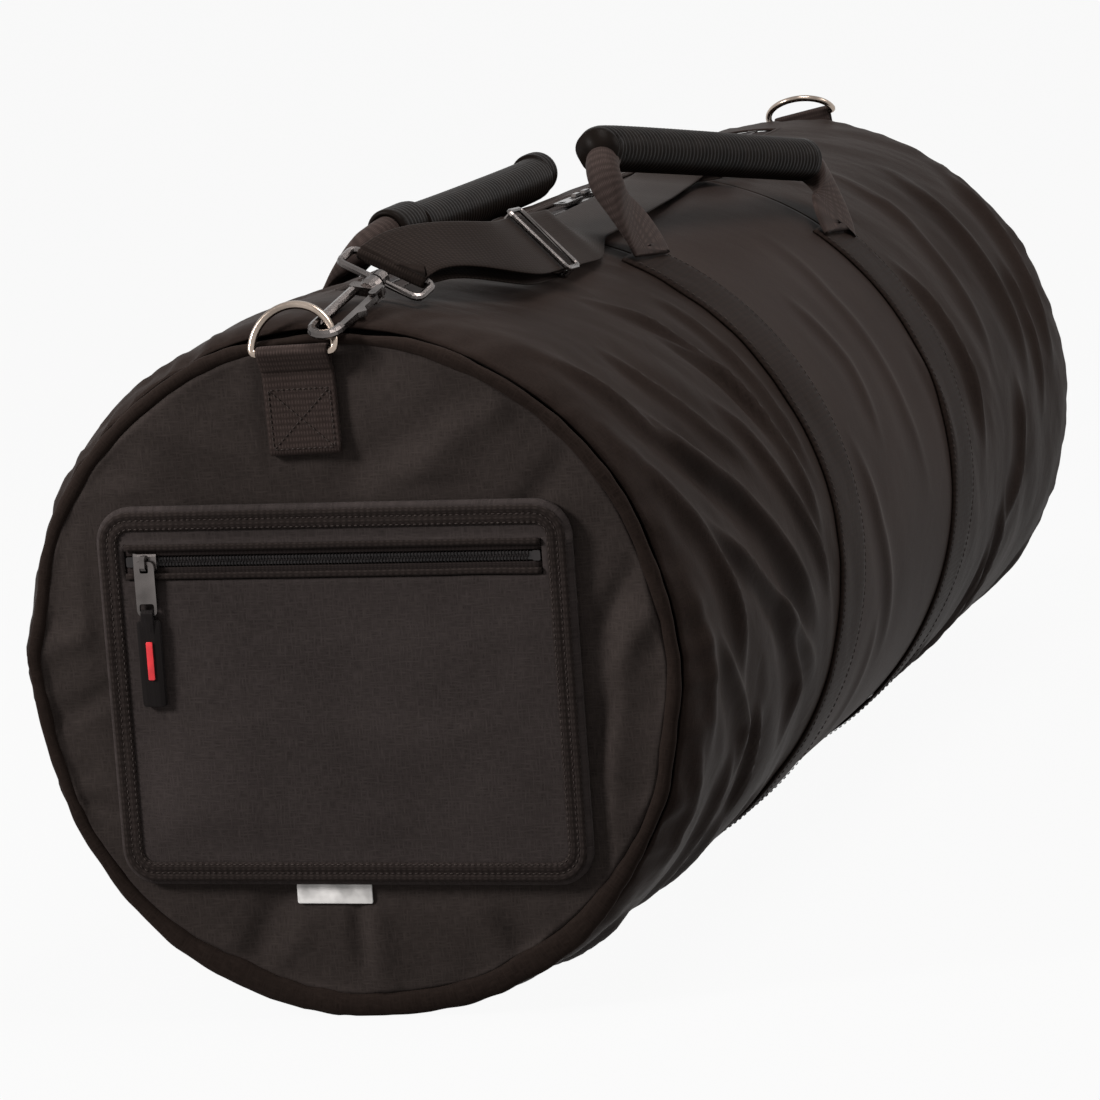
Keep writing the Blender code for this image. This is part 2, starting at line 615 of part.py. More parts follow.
def build_pocket(finish):
    pocket = frame_of_pocket()
    zip_y = POCKET_HEIGHT / 2 - POCKET_ZIP_DROP
    chamfer = POCKET_WALL * CHAMFER_SHARE

    def outline(inset):
        return rounded_rectangle(POCKET_WIDTH - 2 * inset, POCKET_HEIGHT - 2 * inset, POCKET_CORNER - inset)

    rings = []
    for inset, level in ((chamfer, POCKET_DEPTH), (0, POCKET_DEPTH - chamfer), (0, 0), (POCKET_WALL, 0),
                         (POCKET_WALL + chamfer, POCKET_DEPTH - POCKET_WALL)):
        rings.append([Vector((x, y, level)) for x, y in outline(inset)])
    panel = part("pocket_panel", loft("pocket_panel", rings), finish["pocket"], pocket)
    slot_outline = box_outline(-POCKET_ZIP_LENGTH / 2, POCKET_ZIP_LENGTH / 2,
                               zip_y - POCKET_SLOT_WIDTH / 2, zip_y + POCKET_SLOT_WIDTH / 2)
    slot = prism("pocket_slot", slot_outline, POCKET_WALL / 2, POCKET_DEPTH + POCKET_WALL)
    combine(panel, hidden_tool("pocket_slot", slot, pocket), "DIFFERENCE")

    low, high = POCKET_DEPTH + GAP, POCKET_DEPTH + GAP + BORDER_THICKNESS
    inset = 2 * chamfer
    rings = [[Vector((x, y, level)) for x, y in outline(edge)]
             for edge, level in ((inset, low), (inset, high), (BORDER_WIDTH, high), (BORDER_WIDTH, low))]
    part("pocket_border", loft("pocket_border", rings, looped=True), finish["binding"], pocket)

    tape_level = POCKET_DEPTH - POCKET_WALL + ZIP_TAPE_THICKNESS / 2 + GAP
    inner_edge, outer_edge = POCKET_CHAIN_WIDTH / 2 + GAP, POCKET_SLOT_WIDTH / 2 - GAP
    for name, way in (("pocket_zip_tape_upper", 1), ("pocket_zip_tape_lower", -1)):
        tape = rounded_rectangle(POCKET_ZIP_LENGTH - 2 * GAP, outer_edge - inner_edge, 2 * GAP, 2,
                                 (0, zip_y + way * (inner_edge + outer_edge) / 2))
        part(name, prism(name, tape, tape_level - ZIP_TAPE_THICKNESS / 2, tape_level + ZIP_TAPE_THICKNESS / 2),
             finish["tape"], pocket)

    for name, way in (("pocket_welt_upper", 1), ("pocket_welt_lower", -1)):
        middle = zip_y + way * (POCKET_SLOT_WIDTH / 2 - WELT_WIDTH / 2)
        base = tape_level + ZIP_TAPE_THICKNESS / 2 + GAP
        section = [(-WELT_WIDTH / 2, 0), (WELT_WIDTH / 2, 0), (WELT_WIDTH / 2, WELT_HEIGHT * WELT_EDGE_SHARE),
                   (WELT_WIDTH / 4, WELT_HEIGHT), (-WELT_WIDTH / 4, WELT_HEIGHT),
                   (-WELT_WIDTH / 2, WELT_HEIGHT * WELT_EDGE_SHARE)]
        rings = [[Vector((x, middle + y - way * GAP, base + z)) for y, z in section]
                 for x in (-POCKET_ZIP_LENGTH / 2 + 2 * GAP, POCKET_ZIP_LENGTH / 2 - 2 * GAP)]
        part(name, loft(name, rings), finish["binding"], pocket)

    line = frame("pocket_zip_line", (0, zip_y, tape_level), (1, 0, 0), (0, 0, 1), pocket)
    end = POCKET_ZIP_LENGTH / 2 - 3 * GAP
    slider_x = -end + STOP_LENGTH + GAP + POCKET_SLIDER_LENGTH / 2
    part("pocket_chain", chain("pocket_chain", POCKET_CHAIN_WIDTH, slider_x - POCKET_SLIDER_LENGTH / 6,
                               end - STOP_LENGTH - GAP), finish["chain"], line)
    stop_x = end - STOP_LENGTH / 2
    for name, middle in (("pocket_stop_left", -stop_x), ("pocket_stop_right", stop_x)):
        block = rounded_rectangle(STOP_LENGTH, POCKET_CHAIN_WIDTH, STOP_LENGTH / 5, 2, (middle, 0))
        part(name, prism(name, block, -CHAIN_HEIGHT / 3, CHAIN_HEIGHT / 2), finish["nickel"], line)

    seat = frame("pocket_slider_seat", (slider_x, 0, 0), (-1, 0, 0), (0, 0, 1), line)
    slider_body("pocket_slider", POCKET_CHAIN_WIDTH, POCKET_SLIDER_LENGTH, finish["nickel"], seat, turned=True)

    hinge = frame("pocket_pull_hinge", (slider_x, 0, bridge_height()), (0, -1, 0), (0, 0, 1), line)
    pull_tab("pocket_pull", POCKET_PULL_LENGTH, PULL_TAB_WIDTH, PULL_TAB_HOLE, finish["nickel"], hinge,
             PULL_END_HOLE)
    link_x = POCKET_PULL_LENGTH - PULL_BAR / 2 - END_BAR / 2
    link = frame("pocket_puller_hinge", (link_x, 0, 0), (1, 0, 0), (0, 0, 1), hinge)
    build_puller(finish, link)

    tag_y = -POCKET_HEIGHT / 2 - TAG_HEIGHT / 2 - GAP
    tag = rounded_rectangle(TAG_WIDTH, TAG_HEIGHT, TAG_HEIGHT / 12, 2, (TAG_OFFSET, tag_y))
    part("white_tag", prism("white_tag", tag, 0, TAG_THICKNESS), finish["tag"], pocket)


def build_puller(finish, link):
    """A folded tape threaded through the pull's end hole, with a plain red bar sewn on."""
    wall = PULLER_THICKNESS / 2
    # The loop is open enough for the end bar to turn in it.
    clear = sqrt((END_BAR / 2) ** 2 + (PULL_THICKNESS / 2) ** 2) + GAP
    reach = END_BAR / 2 + PULLER_SLACK
    back, high = reach + PULLER_LOOP_WALL * LOOP_BACK_SHARE, clear + PULLER_LOOP_WALL
    turn_x, turn_z = reach * LOOP_TURN_SHARE, clear * LOOP_BACK_SHARE
    outer = [(reach + wall / 2, high), (-turn_x, high), (-back, turn_z), (-back, -turn_z), (-turn_x, -high),
             (reach + wall / 2, -high), (PULLER_NECK_LENGTH, -wall), (PULLER_NECK_LENGTH, wall)]
    neck = part("pocket_puller", side_prism("pocket_puller", outer, PULLER_NECK / 2), finish["puller"], link)
    bore_z = clear * LOOP_TURN_SHARE
    bore = [(reach, clear), (-reach / 2, clear), (-reach, bore_z), (-reach, -bore_z), (-reach / 2, -clear),
            (reach, -clear)]
    combine(neck, hidden_tool("puller_bore", side_prism("puller_bore", bore, PULLER_NECK), link), "DIFFERENCE")
    start = reach + wall + 2 * GAP
    strip = rounded_rectangle(PULLER_LENGTH - start, PULLER_WIDTH, PULLER_WIDTH / 8, 2,
                              ((PULLER_LENGTH + start) / 2, 0))
    combine(neck, hidden_tool("puller_strip", prism("puller_strip", strip, -wall, wall), link), "UNION")
    bar = rounded_rectangle(STRIPE_LENGTH, STRIPE_WIDTH, STRIPE_WIDTH / 6, 2, (PULLER_LENGTH / 2, 0))
    part("puller_red_bar", prism("puller_red_bar", bar, wall + GAP, wall + GAP + STRIPE_THICKNESS),
         finish["red"], link)


# End tabs and D-rings

def ring_outline():
    """Centre line of a D-ring: a straight bar on the X axis and an arch above it."""
    half, corner = RING_WIDTH / 2, RING_CORNER
    bar_shares = (-1, 0, 1)
    points = [Vector((share * (half - corner), 0, 0)) for share in bar_shares]
    for angle in (pi / 4, pi / 2):
        points.append(Vector((half - corner + corner * sin(angle), corner - corner * cos(angle), 0)))
    rise, steps = RING_HEIGHT - corner, 12
    for step in range(1, steps):
        angle = pi * step / steps
        points.append(Vector((half * cos(angle), corner + rise * sin(angle), 0)))
    for angle in (pi / 2, pi / 4):
        points.append(Vector((-half + corner - corner * sin(angle), corner - corner * cos(angle), 0)))
    return points


def build_tab_and_ring(name, way, x, ring_height, seam, tilt, roll, finish):
    """Folded webbing sewn on an end panel with a D-ring in its fold."""
    face = way * (BARREL_LENGTH / 2 + GAP)
    bore = RING_WIRE / 2 + GAP
    layer = TAB_THICKNESS / 2
    bar_out = TAB_LIFT + layer + bore
    head = bore + layer
    # The tab's frame has X along the bar, Y up and Z away from the panel.
    across = Vector((cos(roll), 0, -way * sin(roll)))
    up = Vector((way * sin(roll), 0, cos(roll)))
    seat = frame(name + "_tab_seat", (x, face, AXIS_HEIGHT + ring_height), across * -way, (0, way, 0))
    # The back of the tab stays lifted until it is below the seam's piping.
    lifted = max(2 * head, ring_height - seam + PIPING_DIAMETER + TAB_WIDTH / 2 * abs(sin(roll)))
    sewn = lifted + head
    steps = 8
    profile = [(bar_out - head * cos(pi * step / steps), head * sin(pi * step / steps))
               for step in range(steps + 1)]
    profile += [(TAB_THICKNESS + TAB_LIFT, -lifted), (TAB_THICKNESS, -sewn), (TAB_THICKNESS, -TAB_LENGTH),
                (0, -TAB_LENGTH), (0, -sewn), (TAB_LIFT, -lifted)]
    rings = [[Vector((side, y, z)) for z, y in profile] for side in (-TAB_WIDTH / 2, TAB_WIDTH / 2)]
    tab = part(name + "_ring_tab", loft(name + "_ring_tab", rings), finish["webbing"], seat)
    hole = [[Vector((side, y, z + bar_out)) for z, y in circle(bore, 12)] for side in (-TAB_WIDTH, TAB_WIDTH)]
    combine(tab, hidden_tool(name + "_ring_bore", loft(name + "_ring_bore", hole), seat), "DIFFERENCE")

    bar_place = (x, seat.location.y + way * bar_out, seat.location.z)
    lean = up * cos(tilt) + Vector((0, -way * sin(tilt), 0))
    hinge = frame(name + "_ring_hinge", bar_place, across, across.cross(lean))
    part(name + "_d_ring", tube(name + "_d_ring", ring_outline(), RING_WIRE / 2, 8, looped=True),
         finish["ring"], hinge, smooth=80)


# Handles

def superellipse(wide, thick, power, sides):
    points = []
    for side in range(sides):
        angle = 2 * pi * (side + 0.5) / sides
        c, s = cos(angle), sin(angle)
        points.append((wide / 2 * abs(c) ** (2 / power) * (1 if c > 0 else -1),
                       thick / 2 * abs(s) ** (2 / power) * (1 if s > 0 else -1)))
    return points


GRIP_START_STEPS = 6
FLAT_POWER = 5
ROLL_POWER = 3


def handle_path(span, front_leg, rear_leg):
    """Centre line in the handle's plane: up from one foot, along the grip, down to the other."""
    front = [Vector((-out * MM, off * MM, up * MM)) for out, up, off in front_leg]
    rear = [Vector((span + out * MM, off * MM, up * MM)) for out, up, off in rear_leg]
    return front + rear[::-1]


def path_across(points, index):
    """Direction square to a path in the XZ plane at one of its points."""
    along = points[min(index + 1, len(points) - 1)] - points[max(index - 1, 0)]
    along.normalize()
    return Vector((-along.z, 0, along.x))


def build_handle(side, front_angle, rear_angle, tilt, legs, finish):
    """Rolled webbing that stands on the two bands, with a ribbed grip sleeve round its top."""
    seat_radius = BARREL_RADIUS + GAP + BAND_THICKNESS + FOOT_LIFT + LEG_THICKNESS / 2

    def foot(angle, y):
        return Vector((seat_radius * sin(angle), y, AXIS_HEIGHT + seat_radius * cos(angle)))

    front, rear = foot(front_angle, FRONT_BAND_Y), foot(rear_angle, REAR_BAND_Y)
    hinge = frame(side + "_handle_hinge", front, rear - front, (sin(tilt), 0, cos(tilt)))
    path = handle_path((rear - front).length, *legs)
    lengths = [0.0]
    for before, after in zip(path, path[1:]):
        lengths.append(lengths[-1] + (after - before).length)

    rings = []
    for index, place in enumerate(lengths):
        share = min(1.0, min(place, lengths[-1] - place) / LEG_ROLL_RISE)
        share = share * share * (3 - 2 * share)
        wide = LEG_WIDTH + (ROLL_DIAMETER - LEG_WIDTH) * share
        thick = LEG_THICKNESS + (ROLL_DIAMETER - LEG_THICKNESS) * share * share
        across = path_across(path, index)
        rings.append([path[index] + across * a + Vector((0, b, 0))
                      for a, b in superellipse(wide, thick, FLAT_POWER - ROLL_POWER * share, GRIP_SIDES)])

    def rounded_under(ring, angle):
        """A ring set under the hinge axis, thinned to round off the foot."""
        return [Vector((point.x, point.y * cos(angle), -LEG_THICKNESS / 2 * sin(angle))) for point in ring]

    toe = [rounded_under(rings[0], angle) for angle in (pi / 3, pi / 6)]
    heel = [rounded_under(rings[-1], angle) for angle in (pi / 6, pi / 3)]
    webbing = loft(side + "_handle_webbing", toe + rings + heel)
    part(side + "_handle_webbing", webbing, finish["webbing"], hinge, smooth=60)
    build_grip(side + "_handle_grip", path, lengths, hinge, finish)


def build_grip(name, path, lengths, hinge, finish):
    """A ribbed rubber sleeve along the top of the handle and the start of both bends."""
    first, last = GRIP_START_STEPS, len(path) - 1 - GRIP_START_STEPS
    bore = ROLL_DIAMETER / 2 + 2 * GAP
    start, total = lengths[first], lengths[last] - lengths[first]
    ribs = int((total - 2 * GRIP_END_LIP) / GRIP_RIB_PITCH)
    pitch = (total - 2 * GRIP_END_LIP) / ribs

    def ring(place, radius):
        position = min(max(start + place, lengths[first]), lengths[last])
        index = first
        while index < last - 1 and lengths[index + 1] < position:
            index += 1
        share = (position - lengths[index]) / (lengths[index + 1] - lengths[index])
        centre = path[index].lerp(path[index + 1], share)
        out = path_across(path, index).lerp(path_across(path, index + 1), share).normalized()
        return [centre + radius * (cos(2 * pi * side / GRIP_SIDES) * out
                                   + Vector((0, sin(2 * pi * side / GRIP_SIDES), 0)))
                for side in range(GRIP_SIDES)]

    full = GRIP_DIAMETER / 2
    low = full - GRIP_RIB_DEPTH
    rings = [ring(0, low)] + [ring(GRIP_END_LIP * share, full) for share in GRIP_LIP_SHARES]
    for rib in range(ribs):
        place = GRIP_END_LIP + rib * pitch
        rings += [ring(place, low), ring(place + pitch / 2, full)]
    rings.append(ring(total - GRIP_END_LIP, low))
    rings += [ring(total - GRIP_END_LIP * share, full) for share in GRIP_LIP_SHARES[::-1]]
    rings.append(ring(total, low))
    rings += [ring(lengths[index] - start, bore) for index in range(last, first - 1, -1)]
    part(name, loft(name, rings, looped=True), finish["rubber"], hinge, smooth=50)


# Swivel hooks, in a frame whose X runs from the strap to the hook's nose

SHANK_RADIUS = 5.2 * MM
SHANK_START = 2.6 * MM
SHANK_LENGTH = 8 * MM
POST_RADIUS = 2 * MM
POST_HEAD = 3.4 * MM
POST_HEAD_LENGTH = 1.8 * MM
BOSS_RADIUS = 4.6 * MM
BOSS_LENGTH = 5 * MM
EAR_THICKNESS = 1.3 * MM
GATE_THICKNESS = 3 * MM
GATE_DEPTH = 4 * MM
PIN_RADIUS = 0.8 * MM
PIN_CLEARANCE = 0.12 * MM
SHOULDER_LENGTH = 5 * MM
THUMB_HEIGHT = 3.2 * MM
GATE_TIP_GAP = 0.5 * MM
EYE_CORNER_SHARE = 0.8
BOSS_BACK_SHARE = 0.6
BOSS_SIDES = 16
POST_HEAD_SHARES = (0.7, 0.4)
SHANK_LENGTH_SHARES = (0, 0.15, 0.7, 1)
SHANK_RADIUS_SHARES = (0.85, 1, 1, 0.8)
SHOULDER_START_SHARE = 0.6
DECK_CORNER_SHARE = 0.4
RAIL_START_SHARES = (0.5, 1.2)
RAIL_MIDDLE_SHARE = 0.7
EAR_CORNER_SHARE = 0.45
EAR_SHIFT_STEPS = 8
GATE_ROUND_SHARE = 0.7
GATE_TIP_SHARE = 0.9


def eye_points():
    half = STRAP_WIDTH / 2 + EYE_WIRE
    corner = EYE_WIRE * EYE_CORNER_SHARE
    outline = rounded_rectangle(EYE_DEPTH, 2 * half, corner, 3, (-EYE_DEPTH / 2, 0))
    return [Vector((x, y, 0)) for x, y in outline]


def round_ring(x, radius):
    """A ring round the hook's own axis."""
    turns = [2 * pi * side / BOSS_SIDES for side in range(BOSS_SIDES)]
    return [Vector((x, radius * cos(turn), radius * sin(turn))) for turn in turns]


def build_hook(name, eye_place, nose_way, eye_up, hook_up, finish):
    """A swivel hook: the eye stays with the strap, the hook turns in it, the gate opens inwards."""
    eye_seat = frame(name + "_eye_seat", eye_place, nose_way, eye_up)
    seat = frame(name + "_swivel", eye_place, nose_way, hook_up)
    eye = part(name + "_eye", tube(name + "_eye", eye_points(), EYE_WIRE / 2, 8, looped=True),
               finish["nickel"], eye_seat, smooth=80)
    boss_back = BOSS_LENGTH * BOSS_BACK_SHARE
    boss_rings = [round_ring(x, BOSS_RADIUS) for x in (-boss_back, BOSS_LENGTH - boss_back)]
    combine(eye, hidden_tool(name + "_boss", loft(name + "_boss", boss_rings), eye_seat), "UNION")
    bore = POST_RADIUS + GAP
    bore_rings = [round_ring(x, bore) for x in (-BOSS_LENGTH, BOSS_LENGTH)]
    combine(eye, hidden_tool(name + "_eye_bore", loft(name + "_eye_bore", bore_rings), eye_seat), "DIFFERENCE")

    head_start = -boss_back - GAP - POST_HEAD_LENGTH
    edge_share, slope_share = POST_HEAD_SHARES
    profile = [(head_start, POST_HEAD * edge_share), (head_start + POST_HEAD_LENGTH * slope_share, POST_HEAD),
               (head_start + POST_HEAD_LENGTH, POST_HEAD), (head_start + POST_HEAD_LENGTH, POST_RADIUS),
               (SHANK_START, POST_RADIUS)]
    profile += [(SHANK_START + SHANK_LENGTH * along, SHANK_RADIUS * wide)
                for along, wide in zip(SHANK_LENGTH_SHARES, SHANK_RADIUS_SHARES)]
    shank = [round_ring(x, radius) for x, radius in profile]
    body = part(name + "_body", loft(name + "_body", shank), finish["nickel"], seat, smooth=40)

    shoulder_x = SHANK_START + SHANK_LENGTH * SHOULDER_START_SHARE
    middle = HOOK_WIDTH / 2 - HOOK_WIRE / 2
    deck = rounded_rectangle(SHOULDER_LENGTH, HOOK_WIDTH, SHOULDER_LENGTH * DECK_CORNER_SHARE, 3,
                             (shoulder_x + SHOULDER_LENGTH / 2, 0))
    half_wire = HOOK_WIRE / 2
    combine(body, hidden_tool(name + "_shoulder", prism(name + "_shoulder", deck, -half_wire, half_wire),
                              seat), "UNION")
    nose_x = HOOK_REACH - middle
    path = [Vector((shoulder_x + SHOULDER_LENGTH * share, -middle, 0)) for share in RAIL_START_SHARES]
    path += [Vector((nose_x * RAIL_MIDDLE_SHARE, -middle, 0))]
    path += arc_points((nose_x, 0), middle, -pi / 2, pi / 2, 8)
    path += [Vector((nose_x - HOOK_WIRE / 2, middle, 0))]
    combine(body, hidden_tool(name + "_curve", tube(name + "_curve", path, HOOK_WIRE / 2, 8), seat), "UNION")

    pivot_x = shoulder_x + SHOULDER_LENGTH + GATE_DEPTH / 2 + 2 * GAP
    ear = rounded_rectangle(SHOULDER_LENGTH + GATE_DEPTH + GAP, GATE_DEPTH, GATE_DEPTH * EAR_CORNER_SHARE, 3,
                            (shoulder_x + (SHOULDER_LENGTH + GATE_DEPTH + GAP * EAR_SHIFT_STEPS) / 2, middle))
    ear_low = GATE_THICKNESS / 2 + GAP
    ear_high = ear_low + EAR_THICKNESS
    for label, low, high in (("upper", ear_low, ear_high), ("lower", -ear_high, -ear_low)):
        tool_name = name + "_ear_" + label
        combine(body, hidden_tool(tool_name, prism(tool_name, ear, low, high), seat), "UNION")
    pin_bore = prism(name + "_pin_bore", circle(PIN_RADIUS + PIN_CLEARANCE, 12, (pivot_x, middle)),
                     -HOOK_WIDTH, HOOK_WIDTH)
    pin_bore = hidden_tool(name + "_pin_bore", pin_bore, seat)
    combine(body, pin_bore, "DIFFERENCE")

    gate_end = nose_x - HOOK_WIRE / 2 - GATE_TIP_GAP
    slim = GATE_DEPTH / 2
    bend, tip = slim * GATE_ROUND_SHARE, slim * GATE_TIP_SHARE
    thumb_x = (pivot_x + gate_end) / 2
    gate_outline = [(pivot_x, middle + slim), (pivot_x - bend, middle + bend), (pivot_x - slim, middle),
                    (pivot_x - bend, middle - bend), (pivot_x, middle - slim), (gate_end, middle - bend),
                    (gate_end, middle + tip), (thumb_x + THUMB_HEIGHT, middle + slim),
                    (thumb_x, middle + slim + THUMB_HEIGHT), (thumb_x - THUMB_HEIGHT, middle + slim)]
    gate = part(name + "_gate", prism(name + "_gate", gate_outline, -GATE_THICKNESS / 2, GATE_THICKNESS / 2),
                finish["nickel"], seat)
    combine(gate, pin_bore, "DIFFERENCE")
    pin = prism(name + "_pin", circle(PIN_RADIUS, 12, (pivot_x, middle)), -ear_low - EAR_THICKNESS,
                ear_low + EAR_THICKNESS)
    part(name + "_pin", pin, finish["nickel"], seat)
    return eye_seat


# Shoulder strap: a flat ribbon through points of (place, heading, width direction)

CATCH_ASIDE = 17.9 * MM
CATCH_AHEAD = 2.4 * MM
CATCH_RISE = 11.2 * MM
FRONT_CATCH = (FRONT_TAB_X + CATCH_ASIDE, -BARREL_LENGTH / 2 - CATCH_AHEAD, FRONT_RING_HEIGHT + CATCH_RISE)
FRONT_HOOK_WAY = (-0.28, -0.9, -0.34)
FRONT_EYE_UP = (0.42, -0.1, 0.9)
FRONT_HOOK_UP = (0.06, -0.33, 0.94)
ADJUSTER_X = 61.5 * MM
ADJUSTER_FROM_FRONT = 179 * MM
ADJUSTER_RISE = 7 * MM
ADJUSTER_PLACE = (ADJUSTER_X, ADJUSTER_FROM_FRONT - BARREL_LENGTH / 2, BARREL_RADIUS + ADJUSTER_RISE)
STRAIGHT_BEFORE = 38 * MM
STRAIGHT_AFTER = 62 * MM
STRAP_HEADING = (-0.04, 1.0, -0.06)
LYING_LIFT = 3.6 * MM
STRAP_ON_TOP = ((40 * MM, -150 * MM), (33 * MM, 0), (28.5 * MM, 62 * MM))
REAR_EYE_X = 35 * MM
REAR_EYE_Y = 112 * MM
REAR_EYE_LIFT = 7 * MM
REAR_HOOK_WAY = (0.25, 0.96, -0.05)
RIBBON_STEP = 12 * MM
BAR_BEND_SHARE = 0.4
BAR_DROP_LAYERS_SHARE = 1.5


def on_barrel(x, y, lift):
    return Vector((x, y, sqrt((BARREL_RADIUS + lift) ** 2 - x * x) + AXIS_HEIGHT))


def surface_width(x):
    """Direction across the barrel, tangent to it, at side place x."""
    angle = asin(x / BARREL_RADIUS)
    return Vector((cos(angle), 0, -sin(angle)))


def hermite(start, end, start_way, end_way, share):
    length = (end - start).length
    a, b = start_way.normalized() * length, end_way.normalized() * length
    t2, t3 = share * share, share * share * share
    return (start * (2 * t3 - 3 * t2 + 1) + a * (t3 - 2 * t2 + share)
            + end * (3 * t2 - 2 * t3) + b * (t3 - t2))


def run_between(start, end):
    """Ribbon stations from one (place, heading, width) knot to the next, without the last."""
    (place, way, width), (next_place, next_way, next_width) = start, end
    count = max(1, round((next_place - place).length / RIBBON_STEP))
    stations = []
    for step in range(count):
        share = step / count
        blend = share * share * (3 - 2 * share)
        stations.append((hermite(place, next_place, way, next_way, share), width.lerp(next_width, blend)))
    return stations


def ribbon(name, stations):
    """A flat strip from (centre, width direction) stations, square to its own run."""
    rings = []
    last = len(stations) - 1
    for index, (centre, width) in enumerate(stations):
        along = (stations[min(index + 1, last)][0] - stations[max(index - 1, 0)][0]).normalized()
        across = (width - along * width.dot(along)).normalized()
        out = across.cross(along)
        half_wide, half_thick = across * STRAP_WIDTH / 2, out * STRAP_THICKNESS / 2
        rings.append([centre - half_wide - half_thick, centre + half_wide - half_thick,
                      centre + half_wide + half_thick, centre - half_wide + half_thick])
    return loft(name, rings)


def turn_round(centre, radius, from_way, over_way, width, steps=8):
    """Stations of a half turn round a bar, from one side over the far side to the other."""
    return [(centre + radius * (from_way * cos(pi * step / steps) + over_way * sin(pi * step / steps)), width)
            for step in range(steps + 1)]


def under_run(stations, first_drop, last_drop, start, way):
    """Stations that follow a run of strap underneath it."""
    below = []
    last = len(stations) - 1
    for index, (centre, width) in enumerate(stations):
        along = (stations[min(index + 1, last)][0] - stations[max(index - 1, 0)][0]).normalized()
        across = (width - along * width.dot(along)).normalized()
        drop = first_drop + (last_drop - first_drop) * index / last
        below.append((centre - across.cross(along) * drop, width))
    width = below[0][1]
    return [(start, width), (start + way * STRAP_THICKNESS, width)] + below[1:]


def strap_frames():
    """The adjuster's centre, heading, width direction and outward direction."""
    heading = Vector(STRAP_HEADING).normalized()
    width = Vector((cos(ADJUSTER_TILT), 0, -sin(ADJUSTER_TILT)))
    width = (width - heading * width.dot(heading)).normalized()
    place = Vector(ADJUSTER_PLACE) + Vector((0, 0, AXIS_HEIGHT))
    return place, heading, width, width.cross(heading)


def build_strap(finish):
    wrap = EYE_WIRE / 2 + GAP + STRAP_THICKNESS / 2
    catch = Vector(FRONT_CATCH) + Vector((0, 0, AXIS_HEIGHT))
    front_way = Vector(FRONT_HOOK_WAY).normalized()
    swivel = catch - front_way * (HOOK_REACH - HOOK_WIRE - 4 * GAP - RING_WIRE / 2)
    place, heading, width, out = strap_frames()

    seat = build_hook("front_hook", swivel, front_way, FRONT_EYE_UP, FRONT_HOOK_UP, finish)
    eye_centre = swivel - front_way * EYE_DEPTH
    turn = seat.matrix_basis.to_3x3()
    front_width = turn.col[1]
    front_up = turn.col[2]
    loop = turn_round(eye_centre, wrap, -front_up, front_way, front_width)

    rear_way = Vector(REAR_HOOK_WAY).normalized()
    rear_centre = on_barrel(REAR_EYE_X, REAR_EYE_Y, REAR_EYE_LIFT)
    rear_up = Vector((REAR_EYE_X, 0, BARREL_RADIUS)).normalized()
    rear_up = (rear_up - rear_way * rear_up.dot(rear_way)).normalized()
    rear_width = rear_way.cross(rear_up)
    knots = [
        (loop[-1][0], -front_way, front_width),
        (place - heading * STRAIGHT_BEFORE, heading, width),
        (place, heading, width),
        (place + heading * STRAIGHT_AFTER, heading, width),
    ]
    ways = [Vector((after[0] - before[0], after[1] - before[1], 0)).normalized()
            for before, after in zip(STRAP_ON_TOP, STRAP_ON_TOP[1:])]
    for (x, y), way in zip(STRAP_ON_TOP, ways + [ways[-1]]):
        knots.append((on_barrel(x, y, LYING_LIFT), way, surface_width(x)))
    knots.append((rear_centre + rear_up * wrap, rear_way, rear_width))
    stations = loop[:-1]
    for start, end in zip(knots[:2], knots[1:]):
        stations += run_between(start, end)
    front_run = stations[len(loop) - 1:] + [(knots[2][0], width)]
    for start, end in zip(knots[2:], knots[3:]):
        stations += run_between(start, end)
    rear_loop = turn_round(rear_centre, wrap, rear_up, rear_way, rear_width)
    stations += rear_loop
    stations.append((rear_loop[-1][0] - rear_way * SEWN_END_LENGTH, rear_width))
    part("strap_webbing", ribbon("strap_webbing", stations), finish["webbing"])

    drop = STRAP_THICKNESS * BAR_DROP_LAYERS_SHARE + 3 * GAP + ADJUSTER_WIRE / 2
    bar = place - out * drop
    small_wrap = ADJUSTER_WIRE / 2 + GAP + STRAP_THICKNESS / 2
    lower = under_run(front_run, 2 * wrap + 3 * GAP, drop + small_wrap,
                      loop[0][0] - front_way * STRAP_THICKNESS, -front_way)
    over = turn_round(bar, small_wrap, -out, heading, width)
    lower = lower[:-1] + over + [(over[-1][0] - heading * STRAP_WIDTH / 2, width)]
    part("strap_lower_layer", ribbon("strap_lower_layer", lower), finish["webbing"])

    build_adjuster(place, heading, out, drop, finish)

    build_hook("rear_hook", rear_centre + rear_way * EYE_DEPTH, rear_way, rear_up, rear_up, finish)


